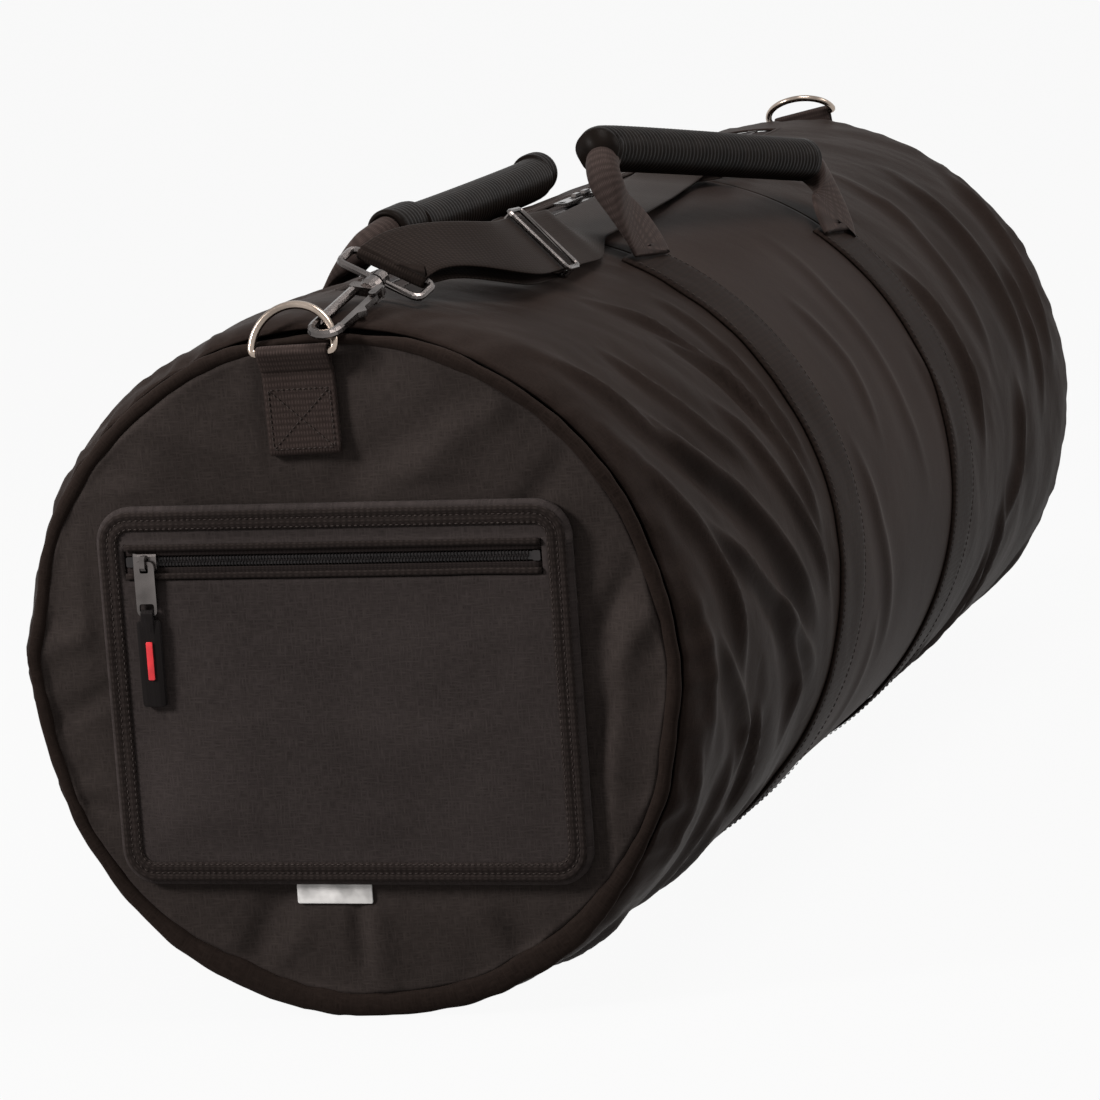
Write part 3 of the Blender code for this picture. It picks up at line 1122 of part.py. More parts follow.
def build_adjuster(place, heading, out, bar_drop, finish):
    """A wire slide: the strap runs under its end bars and over its dropped middle bar."""
    seat = frame("adjuster_seat", place, heading, out)
    lift = STRAP_THICKNESS / 2 + GAP + ADJUSTER_WIRE / 2 + GAP
    half = STRAP_WIDTH / 2 + 2 * GAP + ADJUSTER_WIRE / 2
    outline = rounded_rectangle(ADJUSTER_LENGTH - ADJUSTER_WIRE, 2 * half, ADJUSTER_WIRE, 3)
    loop = [Vector((x, y, lift)) for x, y in outline]
    slide = part("strap_adjuster", tube("strap_adjuster", loop, ADJUSTER_WIRE / 2, 8, looped=True),
                 finish["nickel"], seat, smooth=80)
    corner = ADJUSTER_WIRE / 2
    bend = corner * BAR_BEND_SHARE
    bar = [(0, -half, lift), (0, -half, -bar_drop + corner), (0, -half + bend, -bar_drop + bend),
           (0, -half + corner, -bar_drop), (0, half - corner, -bar_drop), (0, half - bend, -bar_drop + bend),
           (0, half, -bar_drop + corner), (0, half, lift)]
    combine(slide, hidden_tool("adjuster_bar", tube("adjuster_bar", bar, ADJUSTER_WIRE / 2, 8), seat), "UNION")


def make_finishes():
    return {
        "creased": material("creased_nylon", (0.024, 0.019, 0.018), 0.62),
        "smooth": material("smooth_nylon", (0.030, 0.025, 0.023), 0.66),
        "panel": material("panel_weave", (0.038, 0.033, 0.031), 0.8),
        "pocket": material("pocket_weave", (0.036, 0.031, 0.029), 0.8),
        "binding": material("binding_tape", (0.020, 0.017, 0.016), 0.75),
        "piping": material("seam_cord", (0.018, 0.015, 0.014), 0.75),
        "lining": material("padded_lining", (0.03, 0.03, 0.03), 0.9),
        "webbing": material("black_webbing", (0.022, 0.019, 0.018), 0.6),
        "tape": material("zip_tape", (0.014, 0.012, 0.012), 0.75),
        "chain": material("zip_chain", (0.03, 0.028, 0.028), 0.4),
        "nickel": material("black_nickel", (0.16, 0.15, 0.15), 0.3, 1.0),
        "ring": material("bright_nickel", (0.72, 0.66, 0.60), 0.22, 1.0),
        "rubber": material("grip_rubber", (0.012, 0.010, 0.010), 0.5),
        "puller": material("puller_tape", (0.014, 0.013, 0.013), 0.55),
        "red": material("red_bar", (0.75, 0.03, 0.04), 0.5),
        "tag": material("white_tag", (0.85, 0.85, 0.85), 0.6),
    }


def main():
    remove_old_objects()
    finish = make_finishes()
    build_barrel(finish)
    build_ends(finish)
    build_main_zip(finish)
    build_pocket(finish)
    build_tab_and_ring("front", -1, FRONT_TAB_X, FRONT_RING_HEIGHT, FRONT_SEAM_RADIUS,
                       FRONT_RING_TILT, 0, finish)
    build_tab_and_ring("rear", 1, REAR_TAB_X, REAR_RING_HEIGHT, REAR_SEAM_RADIUS,
                       REAR_RING_TILT, REAR_TAB_ROLL, finish)
    build_handle("near", NEAR_FRONT_FOOT, NEAR_REAR_FOOT, NEAR_REST_TILT,
                 (NEAR_FRONT_LEG, NEAR_REAR_LEG), finish)
    build_handle("far", FAR_FRONT_FOOT, FAR_REAR_FOOT, FAR_REST_TILT, (FAR_FRONT_LEG, FAR_REAR_LEG), finish)
    build_strap(finish)


main()
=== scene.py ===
# %% [markdown]
# # A drum hardware bag, dressed in cloth
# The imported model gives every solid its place: shells, bands, zips, rings and hooks.
# This lesson puts real cloth, webbing, rubber and metal on them. Each step first says
# what the piece is, then builds it, then prints what it made.

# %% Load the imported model
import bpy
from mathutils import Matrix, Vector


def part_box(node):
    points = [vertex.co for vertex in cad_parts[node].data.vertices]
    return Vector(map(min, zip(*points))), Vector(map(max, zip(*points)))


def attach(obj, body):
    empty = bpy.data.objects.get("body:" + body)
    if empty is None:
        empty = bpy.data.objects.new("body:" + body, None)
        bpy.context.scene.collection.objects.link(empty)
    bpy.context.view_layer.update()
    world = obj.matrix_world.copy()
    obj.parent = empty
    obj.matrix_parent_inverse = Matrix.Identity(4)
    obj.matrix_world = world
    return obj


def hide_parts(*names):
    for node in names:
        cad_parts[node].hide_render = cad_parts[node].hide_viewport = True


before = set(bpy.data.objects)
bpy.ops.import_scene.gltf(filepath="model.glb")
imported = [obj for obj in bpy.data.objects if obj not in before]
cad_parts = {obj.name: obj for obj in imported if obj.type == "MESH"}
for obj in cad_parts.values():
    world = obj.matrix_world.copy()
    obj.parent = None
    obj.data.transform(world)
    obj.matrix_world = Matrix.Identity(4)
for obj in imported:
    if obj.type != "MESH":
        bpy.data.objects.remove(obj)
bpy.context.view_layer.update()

# %% [markdown]
# ## Sizes
# The barrel lies along Y with the pocket at its -Y end. Angles round it are measured
# from the top towards +X, the near side. These sizes repeat the ones of the solids,
# because a piece of cloth has to lie exactly where its solid is.

# %% Sizes of the barrel and its bands
from contextlib import contextmanager
from math import asin, cos, pi, radians, sin, sqrt

import bmesh
import bpy
import numpy as np
from mathutils import Matrix, Vector, noise

MM = 0.001
HALF_LENGTH = 457 * MM
BARREL_RADIUS = 177.5 * MM
AXIS_HEIGHT = 172 * MM
FRONT_SEAM_RADIUS, FRONT_SHOULDER = 164 * MM, 40 * MM
REAR_SEAM_RADIUS, REAR_SHOULDER = 168 * MM, 14 * MM
SHELL_WALL = 2.5 * MM
GAP = 0.3 * MM
BAND_WIDTH, BAND_THICKNESS = 50 * MM, 2 * MM
FRONT_BAND_Y, REAR_BAND_Y = -152 * MM, 119 * MM
ZIP_FRONT_Y, ZIP_REAR_Y = -372 * MM, 384 * MM
ZIP_SLOT_HALF = 15 * MM
SLOT_ANGLE = asin(ZIP_SLOT_HALF / BARREL_RADIUS)
print("barrel:", round(2 * HALF_LENGTH, 3), "m long,", round(2 * BARREL_RADIUS, 3), "m across")

# %% [markdown]
# ## Helpers
# Most of the bag is cloth, and cloth is a surface with rows and columns of threads.
# So most pieces are made as a grid of points. Its UV map holds real metres along the
# two thread directions, and a weave drawn on it then has the same size on every piece.

# %% A piece from a grid of points
def linked(name, data):
    """An object that shows the data, linked into the scene."""
    made = bpy.data.objects.new(name, data)
    bpy.context.collection.objects.link(made)
    return made


def smooth_piece(name, points, faces):
    """A smooth-shaded mesh."""
    mesh = bpy.data.meshes.new(name)
    mesh.from_pydata(points, [], faces)
    mesh.shade_smooth()
    return linked(name, mesh)


@contextmanager
def edited(mesh):
    """An editable copy of a mesh, which is written back at the end."""
    shape = bmesh.new()
    shape.from_mesh(mesh)
    yield shape
    shape.to_mesh(mesh)
    shape.free()


def face_out(made):
    """Turns a closed mesh's faces outwards."""
    with edited(made.data) as shape:
        bmesh.ops.recalc_face_normals(shape, faces=shape.faces)


def grid_faces(rows, columns, round_way, along_way, skip):
    """Four-sided faces of a grid, joined up where it runs round."""
    row, column = np.meshgrid(np.arange(rows if along_way else rows - 1),
                              np.arange(columns if round_way else columns - 1), indexing="ij")
    row, column = row.ravel(), column.ravel()
    if skip is not None:
        kept = ~skip[row, column]
        row, column = row[kept], column[kept]
    after, above = (column + 1) % columns, (row + 1) % rows
    corners = np.stack((row * columns + column, row * columns + after,
                        above * columns + after, above * columns + column), axis=1)
    places = np.stack((row, column, row, column + 1, row + 1, column + 1, row + 1, column), axis=1)
    return corners, places.reshape(-1, 4, 2)


def cloth(name, points, along, across, round_way=False, along_way=False, skip=None, caps=False):
    """A mesh from rows x columns of points. along and across are metres down the rows
    and over the columns, with one extra value where the grid runs round."""
    points = np.asarray(points, float)
    rows, columns = points.shape[:2]
    corners, places = grid_faces(rows, columns, round_way, along_way, skip)
    used = np.unique(corners)
    renumber = np.zeros(rows * columns, int)
    renumber[used] = np.arange(len(used))
    faces = renumber[corners].tolist()
    uvs = np.stack((np.asarray(across)[places[..., 1]], np.asarray(along)[places[..., 0]]), axis=-1)
    uvs = uvs.reshape(-1, 2).tolist()
    if caps:
        first, last = list(range(columns))[::-1], [(rows - 1) * columns + k for k in range(columns)]
        faces += [first, last]
        uvs += [(0.0, 0.0)] * (2 * columns)
    made = smooth_piece(name, points.reshape(-1, 3)[used].tolist(), faces)
    layer = made.data.uv_layers.new(name="threads")
    layer.data.foreach_set("uv", np.array(uvs, np.float32).ravel())
    return made


def give_thickness(piece, wall):
    """Thickens an open sheet inwards, with its rim closed."""
    thick = piece.modifiers.new("thickness", "SOLIDIFY")
    thick.thickness, thick.offset = wall, -1.0


def settle(piece, finish, body, slot, *solids):
    """Gives a piece its finish, its body and the solids that it stands for."""
    piece.data.materials.clear()
    piece.data.materials.append(finish)
    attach(piece, body)
    if solids:
        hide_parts(*solids)
    print(f"{piece.name}: {len(piece.data.polygons)} faces on {body}")


# %% Soft numbers: noise, steps and lines through points
def soft_noise(x, y, z):
    """Smooth noise from -1 to 1 at each place of three equal arrays."""
    x, y, z = np.broadcast_arrays(x, y, z)
    flat = [noise.noise(Vector(place)) for place in zip(x.ravel(), y.ravel(), z.ravel())]
    return np.array(flat).reshape(x.shape)


def ease(value, low, high):
    """0 below low, 1 above high and smooth between them."""
    share = np.clip((np.asarray(value, float) - low) / (high - low), 0, 1)
    return share * share * (3 - 2 * share)


def window(value, low, full, fade, high):
    """1 from full to fade, 0 below low and above high, and smooth between them."""
    return ease(value, low, full) * (1 - ease(value, fade, high))


def round_noise(angle, scale, place):
    """Smooth noise on a circle, which meets itself all the way round."""
    return soft_noise(scale * np.cos(angle), scale * np.sin(angle), place)


def bell(value, half):
    """1 at 0 and falling away smoothly on both sides."""
    return np.exp(-(value / half) ** 2)


def lean_parts(dx, dy, lean):
    """How far (dx, dy) goes over and along a line that leans so many radians."""
    return dx * cos(lean) - dy * sin(lean), dx * sin(lean) + dy * cos(lean)


def spokes(angle):
    """Outward directions from the barrel's axis."""
    return np.stack((np.sin(angle), 0 * angle, np.cos(angle)), axis=-1)


def line_through(points, steps):
    """A smooth line through every point, with so many steps from one to the next."""
    points = np.array(points, float)
    padded = np.vstack((2 * points[0] - points[1], points, 2 * points[-1] - points[-2]))
    line = []
    for before, start, end, after in zip(padded, padded[1:], padded[2:], padded[3:]):
        for step in range(steps):
            t = step / steps
            line.append(start + t * (end - before) / 2
                        + t * t * (2 * before - 5 * start + 4 * end - after) / 2
                        + t ** 3 * (3 * start - before - 3 * end + after) / 2)
    return np.array(line + [points[-1]])


def run_lengths(line):
    """Metres run along a line at each of its points."""
    steps = np.linalg.norm(np.diff(line, axis=0), axis=1)
    return np.concatenate(([0.0], np.cumsum(steps)))


def along_line(places, lengths, values):
    """The values on a line at places given in metres run along it."""
    return np.stack([np.interp(places, lengths, values[:, k]) for k in range(3)], axis=-1)


def local_frame(origin, x_axis, z_hint):
    """A frame at origin with X along x_axis and Z nearest to z_hint."""
    x_axis = Vector(x_axis).normalized()
    y_axis = Vector(z_hint).cross(x_axis).normalized()
    turn = Matrix((x_axis, y_axis, x_axis.cross(y_axis))).transposed().to_4x4()
    return Matrix.Translation(origin) @ turn


def placed(frame_matrix, points):
    """Points of a local frame in the bag's own frame."""
    points = np.asarray(points, float)
    matrix = np.array(frame_matrix)
    return points @ matrix[:3, :3].T + matrix[:3, 3]


print("noise at one place:", round(float(soft_noise(0.3, 0.2, 0.1)), 3))

# %% [markdown]
# ## Finishes
# The bag is nearly black all over, so the finishes have to differ in weave and gloss.
# A cloth finish mixes two noises, one drawn out along each thread direction, which
# looks woven and doesn't flicker when seen from afar. Slow noise on top of it gives
# the uneven shade of used cloth, and a fine crumple in the bump stands for the small
# creases that are too many to model.

# %% Node helpers
def new_finish(name):
    """A material with its tree and its shader."""
    finish = bpy.data.materials.new(name)
    finish.use_nodes = True
    return finish, finish.node_tree, finish.node_tree.nodes["Principled BSDF"]


def feed(tree, socket, value):
    """Joins another socket to this one, or sets its own number."""
    if isinstance(value, bpy.types.NodeSocket):
        tree.links.new(value, socket)
    else:
        socket.default_value = value


def set_inputs(tree, node, **inputs):
    """Feeds a node's inputs by name, with underscores for spaces."""
    for label, value in inputs.items():
        feed(tree, node.inputs[label.replace("_", " ")], value)


def add_node(tree, kind, **inputs):
    """A new node with its inputs set or joined."""
    made = tree.nodes.new(kind)
    set_inputs(tree, made, **inputs)
    return made


def speckle(tree, vector, scale, detail, distortion=0.0):
    """Noise at a place."""
    return add_node(tree, "ShaderNodeTexNoise", Vector=vector, Scale=scale, Detail=detail,
                    Distortion=distortion).outputs["Fac"]


def streaks(tree, vector, across, along):
    """Noise drawn out in one direction: across and along are counts in a metre."""
    place = add_node(tree, "ShaderNodeMapping", Vector=vector, Scale=(across, along, 1.0))
    return speckle(tree, place.outputs["Vector"], 1.0, 1.0)


def combine(tree, operation, first, second):
    """Two values joined by a sum, a product or the like."""
    made = tree.nodes.new("ShaderNodeMath")
    made.operation = operation
    for socket, value in zip(made.inputs, (first, second)):
        feed(tree, socket, value)
    return made.outputs[0]


def weighted(tree, first, first_share, second, second_share):
    """A sum of two values, each by its share."""
    return combine(tree, "ADD", combine(tree, "MULTIPLY", first, first_share),
                   combine(tree, "MULTIPLY", second, second_share))


def around(tree, value, middle, spread):
    """A value from 0 to 1, moved to lie within a spread round a middle."""
    return combine(tree, "ADD", combine(tree, "MULTIPLY", value, 2 * spread), middle - spread)


def ramp(tree, factor, stops):
    """A colour ramp from (place, colour) stops."""
    made = add_node(tree, "ShaderNodeValToRGB", Fac=factor)
    elements = made.color_ramp.elements
    while len(elements) < len(stops):
        elements.new(0.5)
    for element, (place, colour) in zip(elements, stops):
        element.position = place
        element.color = (*colour, 1.0)
    return made.outputs["Color"]


def uneven(tree, factor, colour, darker, lighter, low, high):
    """A colour that runs from a darker to a lighter tone of itself."""
    dark = tuple(value * darker for value in colour)
    light = tuple(min(1.0, value * lighter) for value in colour)
    return ramp(tree, factor, ((low, dark), (0.5, colour), (high, light)))


# %% Cloth, webbing and tape
CLOTH_TONES = {"darker": 0.66, "lighter": 1.35, "low": 0.34, "high": 0.68}
THREAD_STRETCH = 0.14
RIB_WAVE, CROSS_WAVE = (0.314, 1.2, "X"), (0.157, 0.8, "Y")
WEAVE_SHARE, PATCH_SHARE = 0.62, 0.38
PATCH_SCALE, CRUMPLE_SCALE = 11.0, 55.0
CLOTH_SPREAD, THREAD_RELIEF = 0.11, 0.35
CLOTH_GLOSS, GLOSS_TINT = 0.013, (1.0, 0.82, 0.74, 1.0)
SHEEN_ROUGHNESS, SHEEN_TINT = 0.45, (0.9, 0.8, 0.76, 1.0)


def cloth_finish(name, colour, thread, roughness, sheen, crumple, ribs=0.0, uv=True):
    """Woven cloth. In millimetres: thread is its pitch, crumple the depth of its small
    creases and ribs the pitch of a webbing's cords."""
    finish, tree, shader = new_finish(name)
    source = tree.nodes.new("ShaderNodeTexCoord")
    threads, solid = source.outputs["UV" if uv else "Object"], source.outputs["Object"]
    fine, slow = 1 / (thread * MM), THREAD_STRETCH / (thread * MM)
    weave = combine(tree, "MAXIMUM", streaks(tree, threads, fine, slow), streaks(tree, threads, slow, fine))
    if ribs:
        cords = []
        for scale, distortion, direction in (RIB_WAVE, CROSS_WAVE):
            wave = add_node(tree, "ShaderNodeTexWave", Vector=threads, Scale=scale / (ribs * MM),
                            Distortion=distortion, Detail=1.0)
            wave.bands_direction = direction
            cords.append(wave.outputs["Fac"])
        weave = weighted(tree, weave, 0.5, combine(tree, "MULTIPLY", *cords), 0.5)
    patches = speckle(tree, solid, PATCH_SCALE, 3.0)
    tone = weighted(tree, weave, WEAVE_SHARE, patches, PATCH_SHARE)
    thread_bump = add_node(tree, "ShaderNodeBump", Strength=0.45, Distance=thread * MM * THREAD_RELIEF,
                           Height=weave)
    creases = speckle(tree, solid, CRUMPLE_SCALE, 4.0, 0.6)
    bump = add_node(tree, "ShaderNodeBump", Strength=0.5, Distance=crumple * MM, Height=creases,
                    Normal=thread_bump.outputs["Normal"])
    set_inputs(tree, shader, Base_Color=uneven(tree, tone, colour, **CLOTH_TONES),
               Roughness=around(tree, weave, roughness, CLOTH_SPREAD), Normal=bump.outputs["Normal"],
               Sheen_Weight=sheen, Sheen_Roughness=SHEEN_ROUGHNESS, Sheen_Tint=SHEEN_TINT,
               Specular_IOR_Level=CLOTH_GLOSS, Specular_Tint=GLOSS_TINT)
    return finish


creased_nylon = cloth_finish("creased_nylon", (0.0155, 0.0110, 0.0094), 0.7, 0.50, 0.012, 0.9)
smooth_nylon = cloth_finish("smooth_nylon", (0.0205, 0.0148, 0.0130), 0.7, 0.52, 0.0144, 0.35)
panel_weave = cloth_finish("panel_weave", (0.0330, 0.0270, 0.0250), 0.9, 0.66, 0.0168, 0.5)
pocket_weave = cloth_finish("pocket_weave", (0.0360, 0.0300, 0.0290), 0.9, 0.66, 0.0168, 0.3)
binding_tape = cloth_finish("binding_tape", (0.0250, 0.0200, 0.0185), 0.8, 0.62, 0.0144, 0.2, ribs=1.6)
seam_cloth = cloth_finish("seam_cloth", (0.0170, 0.0122, 0.0104), 0.7, 0.58, 0.012, 0.6)
quilted_lining = cloth_finish("quilted_lining", (0.030, 0.029, 0.029), 0.7, 0.8, 0.012, 0.4)
black_webbing = cloth_finish("black_webbing", (0.0185, 0.0140, 0.0122), 1.0, 0.52, 0.0144, 0.2, ribs=1.5)
band_webbing = cloth_finish("band_webbing", (0.0160, 0.0112, 0.0095), 0.9, 0.55, 0.0096, 0.8, ribs=1.7)
handle_webbing = cloth_finish("handle_webbing", (0.0440, 0.0330, 0.0300), 1.0, 0.52, 0.018, 0.3, ribs=1.5)
zip_tape = cloth_finish("zip_tape", (0.0260, 0.0210, 0.0200), 0.6, 0.7, 0.0096, 0.1, ribs=1.0)
puller_tape = cloth_finish("puller_tape", (0.0140, 0.0125, 0.0125), 0.5, 0.5, 0.006, 0.1, uv=False)
sewing_thread = cloth_finish("sewing_thread", (0.0520, 0.0430, 0.0400), 0.3, 0.5, 0.012, 0.05, uv=False)
print("cloth finishes:", len([m for m in bpy.data.materials if m.use_nodes]))

# %% Metal, rubber and plastic
SOLID_TONES = {"darker": 0.72, "lighter": 1.2, "low": 0.36, "high": 0.66}
SOLID_SPREAD, SLOW_STEP = 0.12, 14


def solid_finish(name, colour, roughness, metallic, grain, depth, gloss=0.5):
    """A moulded or plated finish. grain counts its small marks in a metre, and depth is
    how deep they are in millimetres."""
    finish, tree, shader = new_finish(name)
    place = tree.nodes.new("ShaderNodeTexCoord").outputs["Object"]
    marks, slow = speckle(tree, place, grain, 4.0), speckle(tree, place, grain / SLOW_STEP, 2.0)
    bump = add_node(tree, "ShaderNodeBump", Strength=0.4, Distance=depth * MM, Height=marks)
    set_inputs(tree, shader, Base_Color=uneven(tree, slow, colour, **SOLID_TONES),
               Roughness=around(tree, marks, roughness, SOLID_SPREAD), Normal=bump.outputs["Normal"],
               Metallic=metallic, Specular_IOR_Level=gloss)
    return finish


black_nickel = solid_finish("black_nickel", (0.125, 0.112, 0.107), 0.26, 1.0, 900.0, 0.02)
bright_nickel = solid_finish("bright_nickel", (0.33, 0.27, 0.225), 0.22, 1.0, 700.0, 0.02)
grip_rubber = solid_finish("grip_rubber", (0.0070, 0.0052, 0.0043), 0.40, 0.0, 1300.0, 0.05, gloss=0.025)
coil_plastic = solid_finish("coil_plastic", (0.018, 0.015, 0.015), 0.36, 0.0, 1500.0, 0.02, gloss=0.3)
red_moulding = solid_finish("red_moulding", (0.78, 0.030, 0.040), 0.42, 0.0, 1200.0, 0.03)
white_label = solid_finish("white_label", (0.78, 0.78, 0.77), 0.6, 0.0, 1500.0, 0.03)
print("all finishes:", len(bpy.data.materials))

# %% [markdown]
# ## Creases in the barrel
# The barrel is three lengths of thin nylon sewn end to end over a padded lining. The
# nylon is a little too long for the padding, so it gathers into folds. On the front
# length they run from the seam down towards the rear, the middle one is nearly smooth,
# and the rear one has a few broad folds. A real fold has a narrow crest with a wide
# hollow beside it. Each is drawn as a line of (degrees, millimetres along Y) points,
# and one function gives the height of the cloth that all of them make together. The
# bands that lie on the cloth use it too, so that they follow the same folds.

# %% Folds of the near side, and seeded ones for the rest
# Each near fold is its line, its half width and its rise, all but the degrees in millimetres
NEAR_FOLDS = (
    (((27, -430), (41, -411), (55, -392), (66, -350), (74, -306)), 5.5, 3.6),
    (((24, -300), (37, -262), (50, -243), (63, -231), (80, -212), (92, -196)), 5.0, 3.2),
    (((44, -404), (59, -371), (71, -323), (81, -286), (94, -240), (104, -214)), 6.0, 4.6),
    (((50, -446), (63, -425), (76, -396), (89, -375), (104, -358)), 7.0, 4.2),
    (((60, -452), (81, -440), (97, -428), (112, -418)), 8.0, 3.2),
    (((52, -300), (62, -275), (74, -251), (87, -216), (101, -190)), 4.5, 3.4),
    (((67, -414), (76, -372), (84, -335), (97, -268), (111, -200)), 5.0, 4.2),
    (((38, -280), (52, -244), (67, -225)), 4.0, 2.4),
    (((88, -306), (107, -252), (121, -248)), 6.0, 3.4),
    (((87, -420), (107, -356), (122, -342)), 7.0, 4.0),
    (((36, -360), (48, -345), (60, -318), (70, -280)), 4.5, 2.8),
    (((100, -444), (116, -430), (130, -425)), 7.0, 3.0),
    (((30, -214), (44, -206), (60, -200), (80, -190)), 5.0, 2.2),
    (((70, -110), (90, -84), (121, -20)), 7.0, 1.7),
    (((62, 84), (79, 100), (96, 104)), 6.0, 1.6),
    (((44, -60), (62, -42), (80, -48)), 7.0, 1.3),
    (((30, 30), (50, 12), (75, 20), (95, 40)), 8.0, 1.2),
    (((28, 342), (46, 337), (66, 332), (88, 326)), 9.0, 4.2),
    (((34, 440), (50, 420), (68, 408), (90, 398)), 8.0, 3.8),
    (((48, 160), (60, 176), (76, 188), (96, 190)), 6.0, 3.6),
    (((80, 292), (100, 298), (116, 270)), 8.0, 3.6),
    (((20, 250), (40, 262), (64, 250), (84, 240)), 9.0, 2.4),
    (((58, 376), (74, 368), (96, 366)), 6.0, 2.6),
)


FAR_FIRST_DEGREE, FAR_DEGREES = 118, 224
FAR_LENGTHS = ((-445, -185, 30, 3.6), (-120, 90, 9, 1.4), (150, 445, 22, 3.2))


def far_folds():
    """Folds of the sides turned away from the camera: the same kind, from a fixed seed."""
    dice = np.random.default_rng(11)
    folds = []
    for start, end, count, rise in FAR_LENGTHS:
        for k in range(count):
            turn = FAR_FIRST_DEGREE + FAR_DEGREES * (k + dice.uniform(0, 1)) / count
            y = dice.uniform(start, end)
            lean, reach = dice.uniform(0.2, 1.3) * (1 if turn < 180 else -1), dice.uniform(14, 30)
            line = tuple((turn + reach * (step - 1), y + lean * reach * (step - 1) + dice.uniform(-5, 5))
                         for step in range(3))
            folds.append((line, dice.uniform(4.5, 8), rise * dice.uniform(0.6, 1.1)))
    return folds


FOLD_LINES = list(NEAR_FOLDS) + far_folds()
print("folds in the barrel:", len(FOLD_LINES))


# %% How far the cloth stands off the round form
OUTWARD_LIMIT, LOOSE_LIMIT, INWARD_LIMIT = 1.1 * MM, 3.4 * MM, 5.2 * MM
WEAK_SHARE, FRONT_SHARE, REAR_SHARE = 0.10, 0.90, 0.5
CREST_HALF = 0.8
# Middle and half width of the hollow on each side, in half widths of the fold, and its
# depth as a share of the crest
HOLLOWS = ((2.1, 1.5, 0.5), (-2.4, 1.6, 0.22))
FOLD_FADES = (0, 0.28, 0.66, 1)
FAR_AWAY = 9.0


def crease_strength(y):
    """Strong on the front length, weak on the middle one and fair on the rear one."""
    front = 1 - ease(y, FRONT_BAND_Y - 20 * MM, FRONT_BAND_Y + 22 * MM)
    rear = ease(y, REAR_BAND_Y - 18 * MM, REAR_BAND_Y + 24 * MM)
    return WEAK_SHARE + FRONT_SHARE * front + REAR_SHARE * rear


def fold_height(angle, y):
    """Crests and hollows of all the folds, in metres."""
    full_turn = 2 * pi * BARREL_RADIUS
    arc, y = np.broadcast_arrays(np.mod(angle, 2 * pi) * BARREL_RADIUS, y)
    total = np.zeros(arc.shape)
    for line, width, rise in FOLD_LINES:
        spots = [(radians(turn) * BARREL_RADIUS, place * MM) for turn, place in line]
        nearest, side, run = np.full(arc.shape, FAR_AWAY), np.zeros(arc.shape), np.zeros(arc.shape)
        before = 0.0
        for (a0, y0), (a1, y1) in zip(spots, spots[1:]):
            step_a, step_y = a1 - a0, y1 - y0
            step = np.hypot(step_a, step_y)
            da = np.mod(arc - a0 + full_turn / 2, full_turn) - full_turn / 2
            dy = y - y0
            along = np.clip((da * step_a + dy * step_y) / step ** 2, 0, 1)
            distance = np.hypot(da - along * step_a, dy - along * step_y)
            closer = distance < nearest
            nearest = np.where(closer, distance, nearest)
            side = np.where(closer, np.sign(da * step_y - dy * step_a), side)
            run = np.where(closer, before + along * step, run)
            before += step
        fade = window(run / run_lengths(np.array(spots))[-1], *FOLD_FADES)
        over = nearest * side / (width * MM)
        crest = bell(over, CREST_HALF)
        for middle, half, depth in HOLLOWS:
            crest = crest - depth * bell(over - middle, half)
        total = total + rise * MM * fade * crest
    return total


def signed_angle(angle):
    """The angle brought between minus and plus half a turn."""
    return (angle + pi) % (2 * pi) - pi


TAB_EDGE = np.radians((18, 34))
SAGGING_SIDE = np.radians((60, 80, 104, 118))
FOOT_EDGE = np.radians((142, 156))
# Millimetres that the seam pulls in all round, at the sagging sides and at the foot
PULL, SIDE_PULL, FOOT_PULL = 0.9, 3.6, 4.4
# Depths behind a seam where its gathers start, are full, fade and end
FRONT_GATHERS = np.array((4, 9, 14, 46)) * MM
REAR_GATHERS, REAR_GATHER_SHARE = np.array((4, 9, 10, 34)) * MM, 0.8


def seam_wobble(angle):
    """How far an end seam pulls in, in metres, with its top left true for the ring's tab."""
    turn = np.abs(angle)
    side, low = window(turn, *SAGGING_SIDE), ease(turn, *FOOT_EDGE)
    pull = PULL + SIDE_PULL * side + FOOT_PULL * low
    broad, fine = np.abs(round_noise(angle, 2.1, 7.3)), np.abs(round_noise(angle, 8, 2.9))
    return ease(turn, *TAB_EDGE) * (-pull * MM * broad * 1.6 - (0.6 + 0.9 * low) * MM * fine)


def puckers(angle, y):
    """Short gathers that run from an end seam into the cloth and die away."""
    turn = signed_angle(angle)
    depth_front, depth_rear = y + HALF_LENGTH, HALF_LENGTH - y
    fine = round_noise(turn, 19, 40 * depth_front)
    coarse = round_noise(turn, 7, 25 * depth_front + 4)
    near_front, near_rear = window(depth_front, *FRONT_GATHERS), window(depth_rear, *REAR_GATHERS)
    return (near_front + REAR_GATHER_SHARE * near_rear) * (1.7 * fine + 1.6 * coarse - 0.35) * MM


# %% Gathers behind the front seam and the height of the cloth
# Degrees, half width in degrees, depth behind the seam and drop in millimetres
SLOTS = ((-63, 13, 10, 3.6), (-47, 3.4, 9, 2.4), (-38, 3.0, 8, 2.0), (-24, 3.6, 8, 1.8), (52, 5, 12, 1.6))
SLOT_DEPTH = 4.5


def seam_slots(angle, y):
    """Deeper hollows just behind the front seam."""
    turn = np.degrees(signed_angle(angle))
    depth = (y + HALF_LENGTH) / MM
    total = np.zeros(np.broadcast(turn, depth).shape)
    for middle, half, behind, drop in SLOTS:
        round_share = np.clip(1 - ((turn - middle) / half) ** 2, 0, 1)
        total = total - drop * MM * round_share * bell(depth - behind, SLOT_DEPTH)
    return total


